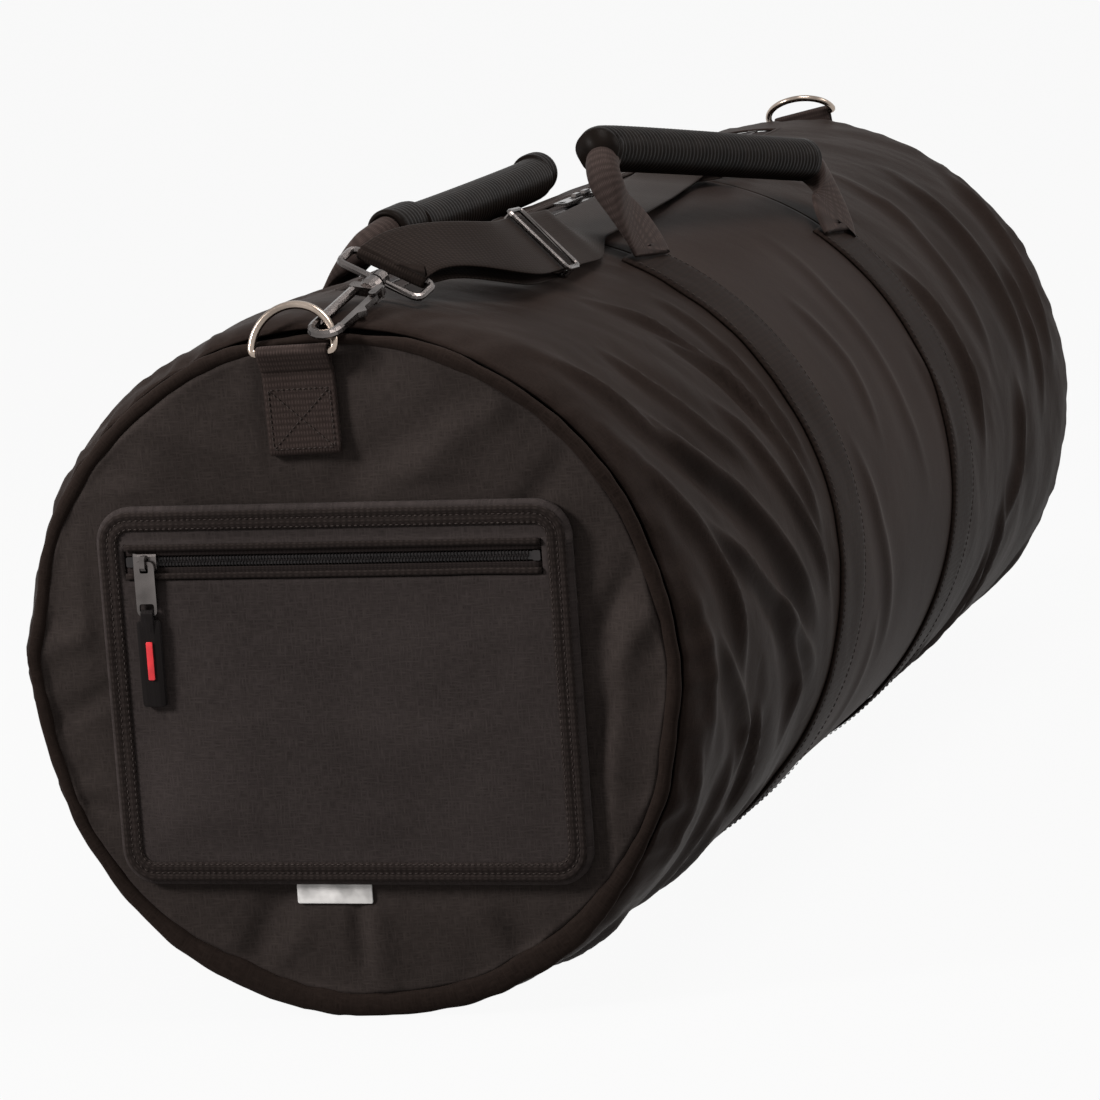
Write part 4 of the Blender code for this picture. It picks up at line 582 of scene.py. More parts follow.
# Rise, length, shift and count round the barrel of the broad, the middle and the small ripples
RIPPLES = ((2.6, 0.085, 0, 2.0), (1.7, 0.034, 9, 3.1), (0.5, 0.013, 3, 7.0))
RIPPLE_LEAN, RIPPLE_SINK = 0.55, 0.6
OFF_BAND = (22 * MM, 34 * MM)
LOOSE_NEAR, LOOSE_BOTH = np.radians((34, 46)), np.radians((60, 75))


def cloth_height(angle, y):
    """How far the cloth stands off the barrel's round form, outwards."""
    turn = signed_angle(angle)
    arc = np.abs(turn) * BARREL_RADIUS
    skew = y - RIPPLE_LEAN * arc
    ripples = 0
    for rise, length, shift, count in RIPPLES:
        around_x, around_y = count * np.cos(turn), count * np.sin(turn)
        ripples = ripples + rise * soft_noise(skew / length + shift, around_x, around_y)
    height = (ripples - RIPPLE_SINK) * MM * crease_strength(y) + fold_height(angle, y)
    slot_edge = 0.3 + 0.7 * ease(arc, ZIP_SLOT_HALF, 60 * MM)
    off_bands = np.minimum(ease(np.abs(y - FRONT_BAND_Y), *OFF_BAND),
                           ease(np.abs(y - REAR_BAND_Y), *OFF_BAND))
    inland = ease(HALF_LENGTH - np.abs(y), 5 * MM, 34 * MM)
    height = height * slot_edge * (0.5 + 0.5 * off_bands) * inland + puckers(angle, y) + seam_slots(angle, y)
    loose = ease(turn, *LOOSE_NEAR) * off_bands + ease(np.abs(turn), *LOOSE_BOTH)
    limit = OUTWARD_LIMIT + (LOOSE_LIMIT - OUTWARD_LIMIT) * np.clip(loose, 0, 1)
    return np.clip(height, -INWARD_LIMIT, limit)


# %% The barrel's own round form
def shoulder_radius(y):
    """Radius along the barrel, rounded in at both ends."""
    radius = np.full(np.shape(y), BARREL_RADIUS)
    for edge, way, seam, shoulder in ((-HALF_LENGTH, 1, FRONT_SEAM_RADIUS, FRONT_SHOULDER),
                                      (HALF_LENGTH, -1, REAR_SEAM_RADIUS, REAR_SHOULDER)):
        share = np.clip((y - edge) * way / shoulder, 0, 1)
        round_in = seam + (BARREL_RADIUS - seam) * np.sqrt(1 - (1 - share) ** 2)
        radius = np.minimum(radius, round_in)
    return radius


def floor_height(y):
    """Height of the cloth over the floor where it rests: lifted by the bands under it."""
    lift = 0.0
    for band_y in (FRONT_BAND_Y, REAR_BAND_Y):
        beside = ease(np.abs(y - band_y), BAND_WIDTH / 2 + GAP, BAND_WIDTH / 2 + 4 * GAP)
        lift = np.maximum(lift, 1 - beside)
    return lift * (BAND_THICKNESS + GAP)


def barrel_places(angle, y, lift):
    """Points on the creased barrel, lift above the cloth, never under the floor."""
    wobble = seam_wobble(signed_angle(angle)) * (1 - ease(HALF_LENGTH - np.abs(y), 0, 45 * MM))
    radius = shoulder_radius(y) + cloth_height(angle, y) + wobble + lift
    floor = np.maximum(floor_height(y) + lift, 0)
    z = np.maximum(AXIS_HEIGHT + radius * np.cos(angle), floor)
    return np.stack((radius * np.sin(angle), y + 0 * radius, z), axis=-1)


sample = cloth_height(np.linspace(0, 2 * pi, 200)[None, :], np.array([-0.3, 0.0, 0.3])[:, None])
print("cloth stands off, in mm, lowest and highest:", np.round(sample.min(1) / MM, 2),
      np.round(sample.max(1) / MM, 2))

# %% [markdown]
# ## The three sewn lengths
# Each length is a sheet bent round the barrel and open where the zip runs. It is made
# as a grid of 3.4 millimetre cells with the zip's cells left out, then given a
# thickness inwards. The cloth beside the zip is turned under, which shows as a soft
# ridge along both edges of the opening.

# %% Shells with the zip opening
CELL = 3.4 * MM
HEM_RIDGE, HEM_MIDDLE, HEM_HALF, HEM_FADE = 0.7 * MM, 4 * MM, 3 * MM, 6 * MM
SHELL_SETBACK, CLOTH_WALL = 3.6 * MM, SHELL_WALL / 2


def shell(name, start, end, finish, slot_name):
    """One sewn length of the barrel from start to end along Y."""
    round_count = int(2 * pi * BARREL_RADIUS / CELL)
    free_angles = np.linspace(SLOT_ANGLE, 2 * pi - SLOT_ANGLE, round_count)
    over_slot = np.linspace(-SLOT_ANGLE, SLOT_ANGLE, 9)[1:-1]
    angles = np.concatenate((free_angles, over_slot + 2 * pi))
    stops = [start, end] + [edge for edge in (ZIP_FRONT_Y, ZIP_REAR_Y) if start < edge < end]
    rows = []
    for low, high in zip(sorted(stops), sorted(stops)[1:]):
        rows += list(np.linspace(low, high, max(2, int((high - low) / CELL)), endpoint=False))
    rows = np.array(rows + [end])
    angle, y = np.meshgrid(angles, rows)
    arc = np.abs(signed_angle(angle)) * BARREL_RADIUS
    along_zip = window(y, ZIP_FRONT_Y - HEM_FADE, ZIP_FRONT_Y, ZIP_REAR_Y, ZIP_REAR_Y + HEM_FADE)
    hem = HEM_RIDGE * bell(arc - ZIP_SLOT_HALF - HEM_MIDDLE, HEM_HALF) * along_zip
    points = barrel_places(angle, y, hem)
    middle = (rows[:-1] + rows[1:]) / 2
    in_zip = (middle > ZIP_FRONT_Y) & (middle < ZIP_REAR_Y)
    skip = np.zeros((len(rows) - 1, len(angles)), bool)
    skip[np.ix_(in_zip, np.arange(round_count - 1, len(angles)))] = True
    metres_round = np.concatenate((angles, [angles[0] + 2 * pi])) * BARREL_RADIUS
    made = cloth(name, points, rows, metres_round, round_way=True, skip=skip)
    give_thickness(made, CLOTH_WALL)
    settle(made, finish, "bag", slot_name, name.replace("_cloth", "_shell"))


shell("front_cloth", SHELL_SETBACK - HALF_LENGTH, FRONT_BAND_Y - GAP / 2, creased_nylon, "creased_nylon")
shell("middle_cloth", FRONT_BAND_Y + GAP / 2, REAR_BAND_Y - GAP / 2, smooth_nylon, "smooth_nylon")
shell("rear_cloth", REAR_BAND_Y + GAP / 2, HALF_LENGTH - SHELL_SETBACK, creased_nylon, "creased_nylon")

# %% [markdown]
# ## Bands round the barrel
# Two bands of wide webbing carry the load from the handles. They lie on the creased
# cloth from one handle's foot, under the barrel, to the other's, and are sewn down
# along both edges. Because they use the same crease function, they sink with the cloth.

# %% Webbing bands
BAND_FEET = {"front": (FRONT_BAND_Y, radians(27), radians(-31)),
             "rear": (REAR_BAND_Y, radians(40), radians(-30))}
BAND_TAIL = 8 * MM / BARREL_RADIUS
BAND_ROWS, BAND_COLUMNS = 300, 15
BAND_ROUNDING, BAND_EDGE_POWER = 0.45, 6


def band(end_name):
    """A webbing band with rounded edges, closed all over."""
    middle, near_foot, far_foot = BAND_FEET[end_name]
    angles = np.linspace(near_foot - BAND_TAIL, far_foot + BAND_TAIL + 2 * pi, BAND_ROWS)
    over = np.linspace(-1, 1, BAND_COLUMNS)
    crown = BAND_THICKNESS * (1 - BAND_ROUNDING * np.abs(over) ** BAND_EDGE_POWER)
    side = np.concatenate((over, over[::-1])) * BAND_WIDTH / 2 + middle
    lifts = np.concatenate((GAP + crown, np.full(BAND_COLUMNS, GAP)))
    angle, y = np.meshgrid(angles, side, indexing="ij")
    lifts = np.broadcast_to(lifts, y.shape)
    points = barrel_places(angle, y, lifts)
    flat = AXIS_HEIGHT + (BARREL_RADIUS + GAP) * np.cos(angle) < BAND_THICKNESS + GAP
    lowest = np.where(lifts > 2 * GAP, 0.0, BAND_THICKNESS)
    points[..., 2] = np.where(flat, np.minimum(points[..., 2], lowest), points[..., 2])
    across = np.concatenate((side, [side[0]]))
    made = cloth(end_name + "_band_webbing", points[:, ::-1], angles * BARREL_RADIUS, across[::-1],
                 round_way=True, caps=True)
    settle(made, band_webbing, "bag", "black_webbing", end_name + "_band")


for end_name in BAND_FEET:
    band(end_name)

# %% [markdown]
# ## Stitches
# Every sewn edge shows a row of thread. One stitch is a small spindle of sixteen
# triangles, and a row of them is one mesh, which is light and holds up close by.

# %% A row of stitches along a line
STITCH_STEP, STITCH_LENGTH, THREAD_RADIUS = 3.6 * MM, 2.7 * MM, 0.28 * MM
TINY = 1e-9


def stitches(name, rows, step=STITCH_STEP, length=STITCH_LENGTH):
    """Stitches along each (line, outward directions) pair, all in one mesh."""
    points, faces = [], []
    for line, outwards in rows:
        line = np.asarray(line, float)
        outwards = np.broadcast_to(np.asarray(outwards, float), line.shape)
        lengths = run_lengths(line)
        for place in np.arange(step / 2, lengths[-1], step):
            middle, out = along_line(place, lengths, line), along_line(place, lengths, outwards)
            way = along_line(min(place + step / 4, lengths[-1]), lengths, line) - middle
            way = way / max(np.linalg.norm(way), TINY)
            out = out / np.linalg.norm(out)
            side = np.cross(way, out)
            reach, sunk = way * length / 2, out * THREAD_RADIUS
            first = len(points)
            points.append(middle - reach - sunk)
            for share in (-0.55, 0.55):
                centre = middle + reach * share + sunk * 0.6
                points += [centre + THREAD_RADIUS * (a * side + b * out)
                           for a, b in ((1, 0), (0, 1), (-1, 0), (0, -1))]
            points.append(middle + reach - sunk)
            for k in range(4):
                a, b = first + 1 + k, first + 1 + (k + 1) % 4
                faces += [(first, b, a), (a, b, b + 4, a + 4), (a + 4, b + 4, first + 9)]
    made = smooth_piece(name, [tuple(point) for point in points], faces)
    print(f"{name}: {len(points) // 10} stitches")
    settle(made, sewing_thread, "bag", "black_webbing")


BAND_ROW_POINTS = 260


def round_line(y, lift, first, last):
    """A line round the barrel on the cloth, with its outward directions."""
    angles = np.linspace(first, last, BAND_ROW_POINTS)
    y, lift = np.full(BAND_ROW_POINTS, y), np.full(BAND_ROW_POINTS, lift)
    return barrel_places(angles, y, lift), spokes(angles)


BAND_ROW, UNDERSIDE = 21.5 * MM, radians(158)
rows = []
for middle, near_foot, far_foot in BAND_FEET.values():
    for edge in (-BAND_ROW, BAND_ROW):
        for first, last in ((near_foot, UNDERSIDE), (2 * pi - UNDERSIDE, far_foot + 2 * pi)):
            rows.append(round_line(middle + edge, GAP + BAND_THICKNESS, first, last))
stitches("band_stitches", rows)

# %% Stitches along the main zip
ZIP_ROW_SETBACK, ZIP_ROW_POINTS = 3.2 * MM, 240
rows = []
for way in (-1, 1):
    places = np.linspace(ZIP_FRONT_Y + 2 * MM, ZIP_REAR_Y - 2 * MM, ZIP_ROW_POINTS)
    angles = np.full(ZIP_ROW_POINTS, way * (ZIP_SLOT_HALF + ZIP_ROW_SETBACK) / BARREL_RADIUS)
    rows.append((barrel_places(angles, places, np.full(ZIP_ROW_POINTS, HEM_RIDGE)), (0.0, 0.0, 1.0)))
stitches("main_zip_stitches", rows)

# %% [markdown]
# ## End panels and their piping
# A round panel closes each end. It is stiffer than the barrel's nylon, so it hangs in
# a few broad folds and puckers only at the seam. The panel is a grid of rings, and the
# pocket's area is kept from bulging because the pocket lies flat on it.

# %% Round end panels
PANEL_INSET = PIPE_RADIUS = 2.5 * MM
POCKET_MIDDLE = (-3 * MM, -9.8 * MM)
POCKET_HALF = (121.5 * MM, 94.5 * MM)
TAB_MIDDLE = -9 * MM
PANEL_IN, PANEL_OUT, PANEL_STRENGTH = 3.3 * MM, 4.4 * MM, 1.25
PANEL_TUCK, PANEL_SINK, PANEL_CLOTH, HUB_RADIUS = 0.4 * MM, 0.3 * MM, 1.6 * MM, 0.4 * MM
# The rings stand closer together near the seam, where the gathers are
RIM_START, INNER_RINGS, RIM_RINGS, PANEL_SPOKES = 0.86, 44, 16, 288
RIM_GATHERS, RIM_FLAT = (0.84, 0.95, 0.97, 1.0), (0.985, 1.0)
# Place in millimetres, lean in degrees, width and reach in millimetres, and rise
PANEL_FOLDS = (
    (-8, -128, 0, 5, 30, -2.6), (2, -132, 0, 7, 30, 1.6), (135, 28, 38, 5, 34, -2.2),
    (143, 8, 40, 7, 38, 2.2), (126, -22, 14, 6, 46, -1.8), (134, -34, 10, 7, 44, 1.8),
    (-138, -10, 62, 5, 30, -1.8), (-139, -62, 105, 4, 26, -1.7), (-142, 22, 70, 7, 26, 1.6),
    (-60, -128, 30, 7, 28, -1.8), (-44, -136, 36, 7, 26, 1.6), (70, -126, -30, 7, 30, -1.8),
    (86, -118, -34, 7, 28, 1.6), (36, 112, 62, 10, 44, -1.5), (70, 116, 50, 9, 36, 1.6),
    (-92, 96, 118, 8, 38, -1.4), (-70, 118, 112, 9, 40, 1.5), (108, 88, 40, 7, 34, -1.8),
    (-112, 76, 128, 6, 26, 1.3))


def folds_at(x, z, folds):
    """Sum of the soft folds at (x, z), in millimetres."""
    total = 0
    for fold_x, fold_z, lean, width, reach, rise in folds:
        over, along = lean_parts(x / MM - fold_x, z / MM - fold_z, radians(lean))
        total = total + rise * np.exp(-(over / width) ** 2 - (along / reach) ** 2)
    return total


def panel_height(x, z):
    """Outward swell of an end panel at (x, z) from the barrel's axis, in metres."""
    broad = 2.2 * soft_noise(x / 0.05, z / 0.10, 1.5) + 0.8 * soft_noise(x / 0.02, z / 0.06, 8.5)
    swell = 1.2 * (1 - (x * x + z * z) / FRONT_SEAM_RADIUS ** 2)
    return PANEL_STRENGTH * (broad + swell + folds_at(x, z, PANEL_FOLDS)) * MM


def end_panel(end_name, way, seam):
    """A disc of cloth inside the seam's piping."""
    outer, with_pocket = seam - PANEL_INSET + PANEL_TUCK, end_name == "front"
    radii = np.concatenate((np.linspace(0, outer * RIM_START, INNER_RINGS)[1:],
                            np.linspace(outer * RIM_START, outer, RIM_RINGS)[1:]))
    angles = np.linspace(0, 2 * pi, PANEL_SPOKES + 1)[:-1]
    angle, radius = np.meshgrid(angles, radii)
    share = radius / outer
    turn = signed_angle(angle)
    radius = radius + seam_wobble(turn) * share ** 4
    x, z = radius * np.sin(angle), radius * np.cos(angle)
    height = panel_height(x * (1 if with_pocket else -1), z)
    gather = 1.4 * round_noise(turn, 11, 5.0) - 0.5
    height = height + gather * MM * window(share, *RIM_GATHERS)
    if with_pocket:
        inside_x = np.abs(x - POCKET_MIDDLE[0]) / (POCKET_HALF[0] + 3 * MM)
        inside_z = np.abs(z - POCKET_MIDDLE[1] + 2 * MM) / (POCKET_HALF[1] + 7 * MM)
        free = ease(np.maximum(inside_x, inside_z), 1.0, 1.07)
        tab = 1 - (1 - ease(np.abs(x - TAB_MIDDLE), 19 * MM, 26 * MM)) * ease(z, 98 * MM, 104 * MM)
        height = np.where(height > 0, height * free * tab, height)
    height = np.clip(height * (1 - ease(share, *RIM_FLAT)), -PANEL_IN, PANEL_OUT)
    points = np.stack((x, way * (HALF_LENGTH + height) - way * PANEL_SINK, AXIS_HEIGHT + z), axis=-1)
    hub = np.array((0, 0, AXIS_HEIGHT)) + HUB_RADIUS * spokes(angles)[None]
    hub[..., 1] = points[0, :, 1].mean()
    points = np.concatenate((hub, points))
    if way > 0:
        points = points[:, ::-1]
    made = cloth(end_name + "_cloth_panel", points, np.concatenate(([0.0], radii)),
                 np.concatenate((angles, [2 * pi])) * outer, round_way=True)
    thread_map = made.data.uv_layers[0].data
    for loop in made.data.loops:
        place = made.data.vertices[loop.vertex_index].co
        thread_map[loop.index].uv = (place.x, place.z)
    hub_face(made, len(angles))
    give_thickness(made, PANEL_CLOTH)
    settle(made, panel_weave, "bag", "panel_weave", end_name + "_panel")


def hub_face(made, count):
    """Closes the small hole in the middle of a grid of rings."""
    with edited(made.data) as shape:
        shape.verts.ensure_lookup_table()
        shape.faces.new([shape.verts[k] for k in range(count)][::-1]).smooth = True
        bmesh.ops.recalc_face_normals(shape, faces=shape.faces)
        middle = sum((face.normal for face in shape.faces), Vector())
        if middle.y * made.data.vertices[0].co.y < 0:
            bmesh.ops.reverse_faces(shape, faces=shape.faces)


end_panel("front", -1, FRONT_SEAM_RADIUS)
end_panel("rear", 1, REAR_SEAM_RADIUS)

# %% Piping in the two end seams
ROLL_SHARE, FOOT_ROLL_SHARE = 0.45, 1.0
ROLL_START, FOOT_ROLL_START = np.radians((9, 17)), np.radians((118, 150))
PIPE_SIDES, PIPE_STEPS = 16, 360
CORD_SETBACK, FOOT_RISE, CORD_FLOOR = 1.2 * MM, 0.7 * MM, 0.4 * MM


def tube_points(line, radii, sides, first_side=None):
    """Rings square to a closed line, carried along it without twist."""
    line = np.asarray(line, float)
    count = len(line)
    radii = np.broadcast_to(radii, count)
    turns = 2 * pi * np.arange(sides) / sides
    rings, side_way = [], first_side
    for index in range(count):
        ahead, behind = line[(index + 1) % count], line[index - 1]
        along = (ahead - behind) / np.linalg.norm(ahead - behind)
        if side_way is None:
            side_way = np.cross(along, (0.31, 0.52, 0.79))
        side_way = side_way - along * side_way.dot(along)
        side_way = side_way / np.linalg.norm(side_way)
        up = np.cross(along, side_way)
        ring = np.cos(turns)[:, None] * side_way + np.sin(turns)[:, None] * up
        rings.append(line[index] + radii[index] * ring)
    return np.array(rings)


def piping(end_name, way, seam):
    """A cord covered in cloth. At the front's foot the barrel's cloth rolls over it."""
    angles = np.linspace(0, 2 * pi, PIPE_STEPS + 1)[:-1]
    turn = signed_angle(angles)
    radius = seam + seam_wobble(turn)
    low = ease(np.abs(turn), *FOOT_ROLL_START) * (1.0 if way < 0 else 0.0)
    lumps = (0.45 - 0.2 * low) * MM * round_noise(angles, 16, 3.3)
    line = np.stack((radius * np.sin(angles), way * (HALF_LENGTH - CORD_SETBACK + FOOT_RISE * low),
                     AXIS_HEIGHT + radius * np.cos(angles)), axis=-1)
    points = tube_points(line, PIPE_RADIUS + lumps, PIPE_SIDES, np.array((0.0, 1.0, 0.0)))
    out = spokes(angles)[:, None]
    waves = 1 + 0.45 * round_noise(angles, 3.4, 6.1)
    beside_tab = ease(np.abs(turn), *ROLL_START)
    widened = (ROLL_SHARE * beside_tab + FOOT_ROLL_SHARE * low * waves)[:, None, None]
    radial = np.sum((points - line[:, None]) * out, axis=2, keepdims=True)
    points = points + out * (radial + PIPE_RADIUS) * widened
    points[..., 2] = np.maximum(points[..., 2], CORD_FLOOR)
    made = cloth(end_name + "_cord", points, np.linspace(0, 2 * pi * seam, PIPE_STEPS + 1),
                 np.linspace(0, 2 * pi * PIPE_RADIUS, PIPE_SIDES + 1), round_way=True, along_way=True)
    face_out(made)
    settle(made, seam_cloth, "bag", "seam_cord", end_name + "_piping")


piping("front", -1, FRONT_SEAM_RADIUS)
piping("rear", 1, REAR_SEAM_RADIUS)

# %% [markdown]
# ## Padded lining
# Inside the nylon lies a quilted foam lining, seen only when the bag is open. It is
# soft and thick. Its quilting is a diamond of shallow channels, sunk into the inner
# face.

# %% Quilted lining of the barrel and its ends
LINING_LIFT, LINING_THICKNESS, LINING_SETBACK = 5.0 * MM, 2.2 * MM, 12 * MM
LINING_FLOOR = 7.2 * MM
QUILT, CHANNEL_DEPTH, CHANNEL_HALF = 60 * MM, 1.1 * MM, 0.06
LINING_COLUMNS, LINING_ROWS = 190, 150
DISC_RINGS, DISC_SPOKES, DISC_SETBACK = 40, 120, 1.5 * MM
DISC_HALF, DISC_QUILTING, DISC_HOLE = 1.2 * MM, 0.4, 0.5 * MM


def quilt_drop(a, b):
    """Depth of the sewn channels at (a, b) on the lining."""
    first, second = (((way + a) / QUILT) % 1 - 0.5 for way in (b, -b))
    return CHANNEL_DEPTH * (bell(first, CHANNEL_HALF) + bell(second, CHANNEL_HALF))


def quilted(name, points, lengths, across, node):
    """A closed quilted piece that stands for a lining solid."""
    made = cloth(name, points, lengths, across, round_way=True, caps=True)
    face_out(made)
    settle(made, quilted_lining, "bag", "padded_lining", node)


def lining_barrel():
    """The foam tube inside the shells, open under the zip."""
    angles = np.linspace(SLOT_ANGLE, 2 * pi - SLOT_ANGLE, LINING_COLUMNS)
    rows = np.linspace(LINING_SETBACK - HALF_LENGTH, HALF_LENGTH - LINING_SETBACK, LINING_ROWS)
    angle, y = np.meshgrid(angles, rows)
    drop = quilt_drop(angle * BARREL_RADIUS, y)
    radius = shoulder_radius(y) - SHELL_WALL - LINING_LIFT
    inner = radius - LINING_THICKNESS + drop
    z = np.maximum(AXIS_HEIGHT + radius * np.cos(angle), LINING_FLOOR)
    inner_z = np.maximum(AXIS_HEIGHT + inner * np.cos(angle), LINING_FLOOR + LINING_THICKNESS - drop)
    outer_points = np.stack((radius * np.sin(angle), y, z), axis=-1)
    inner_points = np.stack((inner * np.sin(angle), y, inner_z), axis=-1)
    across = np.concatenate((angles, angles[::-1], [angles[0]])) * BARREL_RADIUS
    quilted("quilted_barrel", np.concatenate((outer_points, inner_points[:, ::-1]), axis=1), rows, across,
            "barrel_lining")


def lining_end(name, node):
    """A quilted disc behind an end panel."""
    low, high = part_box(node)
    level = (low.y + high.y) / 2
    outer = (high.x - low.x) / 2 - DISC_SETBACK
    radii = np.linspace(DISC_HOLE, outer, DISC_RINGS)
    angles = np.linspace(0, 2 * pi, DISC_SPOKES + 1)[:-1]
    angle, radius = np.meshgrid(angles, radii)
    x, z = radius * np.sin(angle), radius * np.cos(angle)
    half = DISC_HALF - quilt_drop(x, z) * DISC_QUILTING
    front, back = (np.stack((x, level + side * half, AXIS_HEIGHT + z), axis=-1) for side in (-1, 1))
    quilted(name, np.concatenate((front, back[::-1])), np.concatenate((radii, radii[::-1])),
            np.concatenate((angles, [2 * pi])) * outer, node)


lining_barrel()
lining_end("quilted_front", "front_lining")
lining_end("quilted_rear", "rear_lining")

# %% [markdown]
# ## Zips
# A coil zip is two rows of plastic loops that mesh in the middle of two woven tapes.
# The loops are modelled one by one, as short bars that alternate from side to side.
# The chain keeps the outside size of its solid, so the slider still clears it.

# %% Coil of a zip
CHAIN_HEIGHT = 2.4 * MM
BAR_SIDES, BAR_THICKNESS, BAR_OVERLAP = 8, 0.62, 0.32
# How far along its length each ring of a bar lies, and how thick it is there
BAR_RINGS = ((0, 0.6), (0.18, 1.0), (0.8, 1.0), (1, 0.5))
CORE_WIDTH, CORE_HEIGHT = 0.8, 0.3


def coil(name, line_frame, width, start, end, pitch, node):
    """Meshed loops along X of a frame, with the cord that they are sewn on."""
    half, tall = width / 2, CHAIN_HEIGHT / 2
    section = [(pitch * BAR_THICKNESS / 2 * cos(a), tall * sin(a)) for a in np.arange(BAR_SIDES) * pi / 4]
    points, faces = [], []

    def bar(x, y0, y1):
        """One slanting side of a loop, from y0 to y1."""
        first = len(points)
        for place, share in BAR_RINGS:
            points.extend((x + a * share, y0 + (y1 - y0) * place, b * share) for a, b in section)
        faces.append(tuple(first + k for k in range(BAR_SIDES))[::-1])
        for ring in range(len(BAR_RINGS) - 1):
            for k in range(BAR_SIDES):
                a, b = (first + ring * BAR_SIDES + side % BAR_SIDES for side in (k, k + 1))
                faces.append((a, b, b + BAR_SIDES, a + BAR_SIDES))
        faces.append(tuple(len(points) - BAR_SIDES + k for k in range(BAR_SIDES)))

    count = int((end - start - pitch) / pitch)
    for index in range(count):
        x = start + pitch * (index + 0.75)
        bar(x, -half, BAR_OVERLAP * half)
        bar(x + pitch / 2, -BAR_OVERLAP * half, half)
    core = len(points)
    for x in (start, end):
        points.extend((x, y * half * CORE_WIDTH, z * tall * CORE_HEIGHT)
                      for y, z in ((-1, -1), (1, -1), (1, 1), (-1, 1)))
    faces.extend(((core, core + 1, core + 2, core + 3), (core + 4, core + 7, core + 6, core + 5)))
    faces.extend((core + k, core + 4 + k, core + 4 + (k + 1) % 4, core + (k + 1) % 4) for k in range(4))
    made = smooth_piece(name, placed(line_frame, points).tolist(), faces)
    made.data.set_sharp_from_angle(angle=radians(50))
    face_out(made)
    print(f"{name}: {2 * count} loops")
    settle(made, coil_plastic, "bag", "zip_chain", node)


TAPE_TOP = BARREL_RADIUS - 1.2 * MM
TAPE_MIDDLE = TAPE_TOP - 0.5 * MM
MAIN_COIL_WIDTH, MAIN_COIL_PITCH = 6.4 * MM, 2.0 * MM
main_line = local_frame((0, 0, AXIS_HEIGHT + TAPE_MIDDLE), (0, 1, 0), (0, 0, 1))
for name in ("front", "rear"):
    low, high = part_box("main_chain_" + name)
    coil("main_coil_" + name, main_line, MAIN_COIL_WIDTH, low.y, high.y, MAIN_COIL_PITCH,
         "main_chain_" + name)

# %% Woven tapes beside the main coil
TAPE_THICKNESS, TAPE_COLUMNS, TAPE_ROWS = 0.9 * MM, 7, 60
TAPE_ROUNDING, TAPE_EDGE_POWER = 0.35, 8


def flat_strip(name, inner_edge, outer_edge, out, node):
    """A closed strip of tape between two edge lines, each from its start to its end."""
    (a0, a1), (b0, b1) = np.array(inner_edge, float), np.array(outer_edge, float)
    out = np.array(out, float)
    along = np.linspace(0, 1, TAPE_ROWS)[:, None, None]
    over = np.linspace(0, 1, TAPE_COLUMNS)[None, :, None]
    top = (a0 * (1 - along) + a1 * along) * (1 - over) + (b0 * (1 - along) + b1 * along) * over
    rise = out * TAPE_THICKNESS / 2 * (1 - np.abs(2 * over - 1) ** TAPE_EDGE_POWER * TAPE_ROUNDING)
    points = np.concatenate((top + rise, (top - rise)[:, ::-1]), axis=1)
    length, width = np.linalg.norm(a1 - a0), np.linalg.norm(b0 - a0)
    across = np.linspace(0, width, TAPE_COLUMNS)
    across = np.concatenate((across, across[::-1], [0.0]))
    made = cloth(name, points, np.linspace(0, length, TAPE_ROWS), across, round_way=True, caps=True)
    face_out(made)
    settle(made, zip_tape, "bag", "zip_tape", node)


MAIN_TAPE_EDGES = (3.6 * MM, 14.6 * MM)
for side, way in (("near", 1), ("far", -1)):
    edges = []
    for x in (way * edge for edge in MAIN_TAPE_EDGES):
        z = AXIS_HEIGHT + sqrt(TAPE_MIDDLE ** 2 - x ** 2)
        edges.append([(x, y, z) for y in (ZIP_FRONT_Y + 2 * GAP, ZIP_REAR_Y - 2 * GAP)])
    flat_strip("main_tape_" + side, *edges, (0, 0, 1), "main_zip_tape_" + side)

# %% [markdown]
# ## Front pocket
# The pocket is a flat pouch sewn on the front panel. A rounded tape binds its edge in
# two ridges, and the zip runs across it between two welts. All its pieces are made in
# the pocket's own frame: X to the right, Y up and Z out of the panel.

# %% The pocket's frame and outline
POCKET_ROLL = radians(-1.6)
POCKET_CORNER, POCKET_DEPTH, POCKET_WALL, BORDER_WIDTH = 18 * MM, 5 * MM, 2 * MM, 14 * MM
pocket_frame = local_frame((POCKET_MIDDLE[0], -HALF_LENGTH - GAP, AXIS_HEIGHT + POCKET_MIDDLE[1]),
                           (cos(POCKET_ROLL), 0, sin(POCKET_ROLL)), (0, -1, 0))
ZIP_Y = POCKET_HALF[1] - 27 * MM
ZIP_HALF_LENGTH, POCKET_SLOT_HALF = 107 * MM, 9 * MM
SMALLEST_CORNER, CORNER_STEPS, SIDE_STEPS = 1.5 * MM, 7, 24


def pocket_outline(inset):
    """Points round the pocket's rounded edge, moved in by inset, all rings alike."""
    half_x, half_y = POCKET_HALF[0] - inset, POCKET_HALF[1] - inset
    corner = max(POCKET_CORNER - inset, SMALLEST_CORNER)

    def on_corner(sx, sy, angle):
        """A place on the rounded corner that lies on the given sides."""
        return sx * (half_x - corner) + corner * cos(angle), sy * (half_y - corner) + corner * sin(angle)

    signs = ((1, 1), (-1, 1), (-1, -1), (1, -1))
    points = []
    for turn, (sx, sy) in enumerate(signs):
        points += [on_corner(sx, sy, pi / 2 * (turn + step / CORNER_STEPS))
                   for step in range(CORNER_STEPS + 1)]
        start = np.array(points[-1])
        end = np.array(on_corner(*signs[(turn + 1) % 4], pi / 2 * (turn + 1)))
        points += [tuple(start + (end - start) * k / SIDE_STEPS) for k in range(1, SIDE_STEPS)]
    return np.array(points)


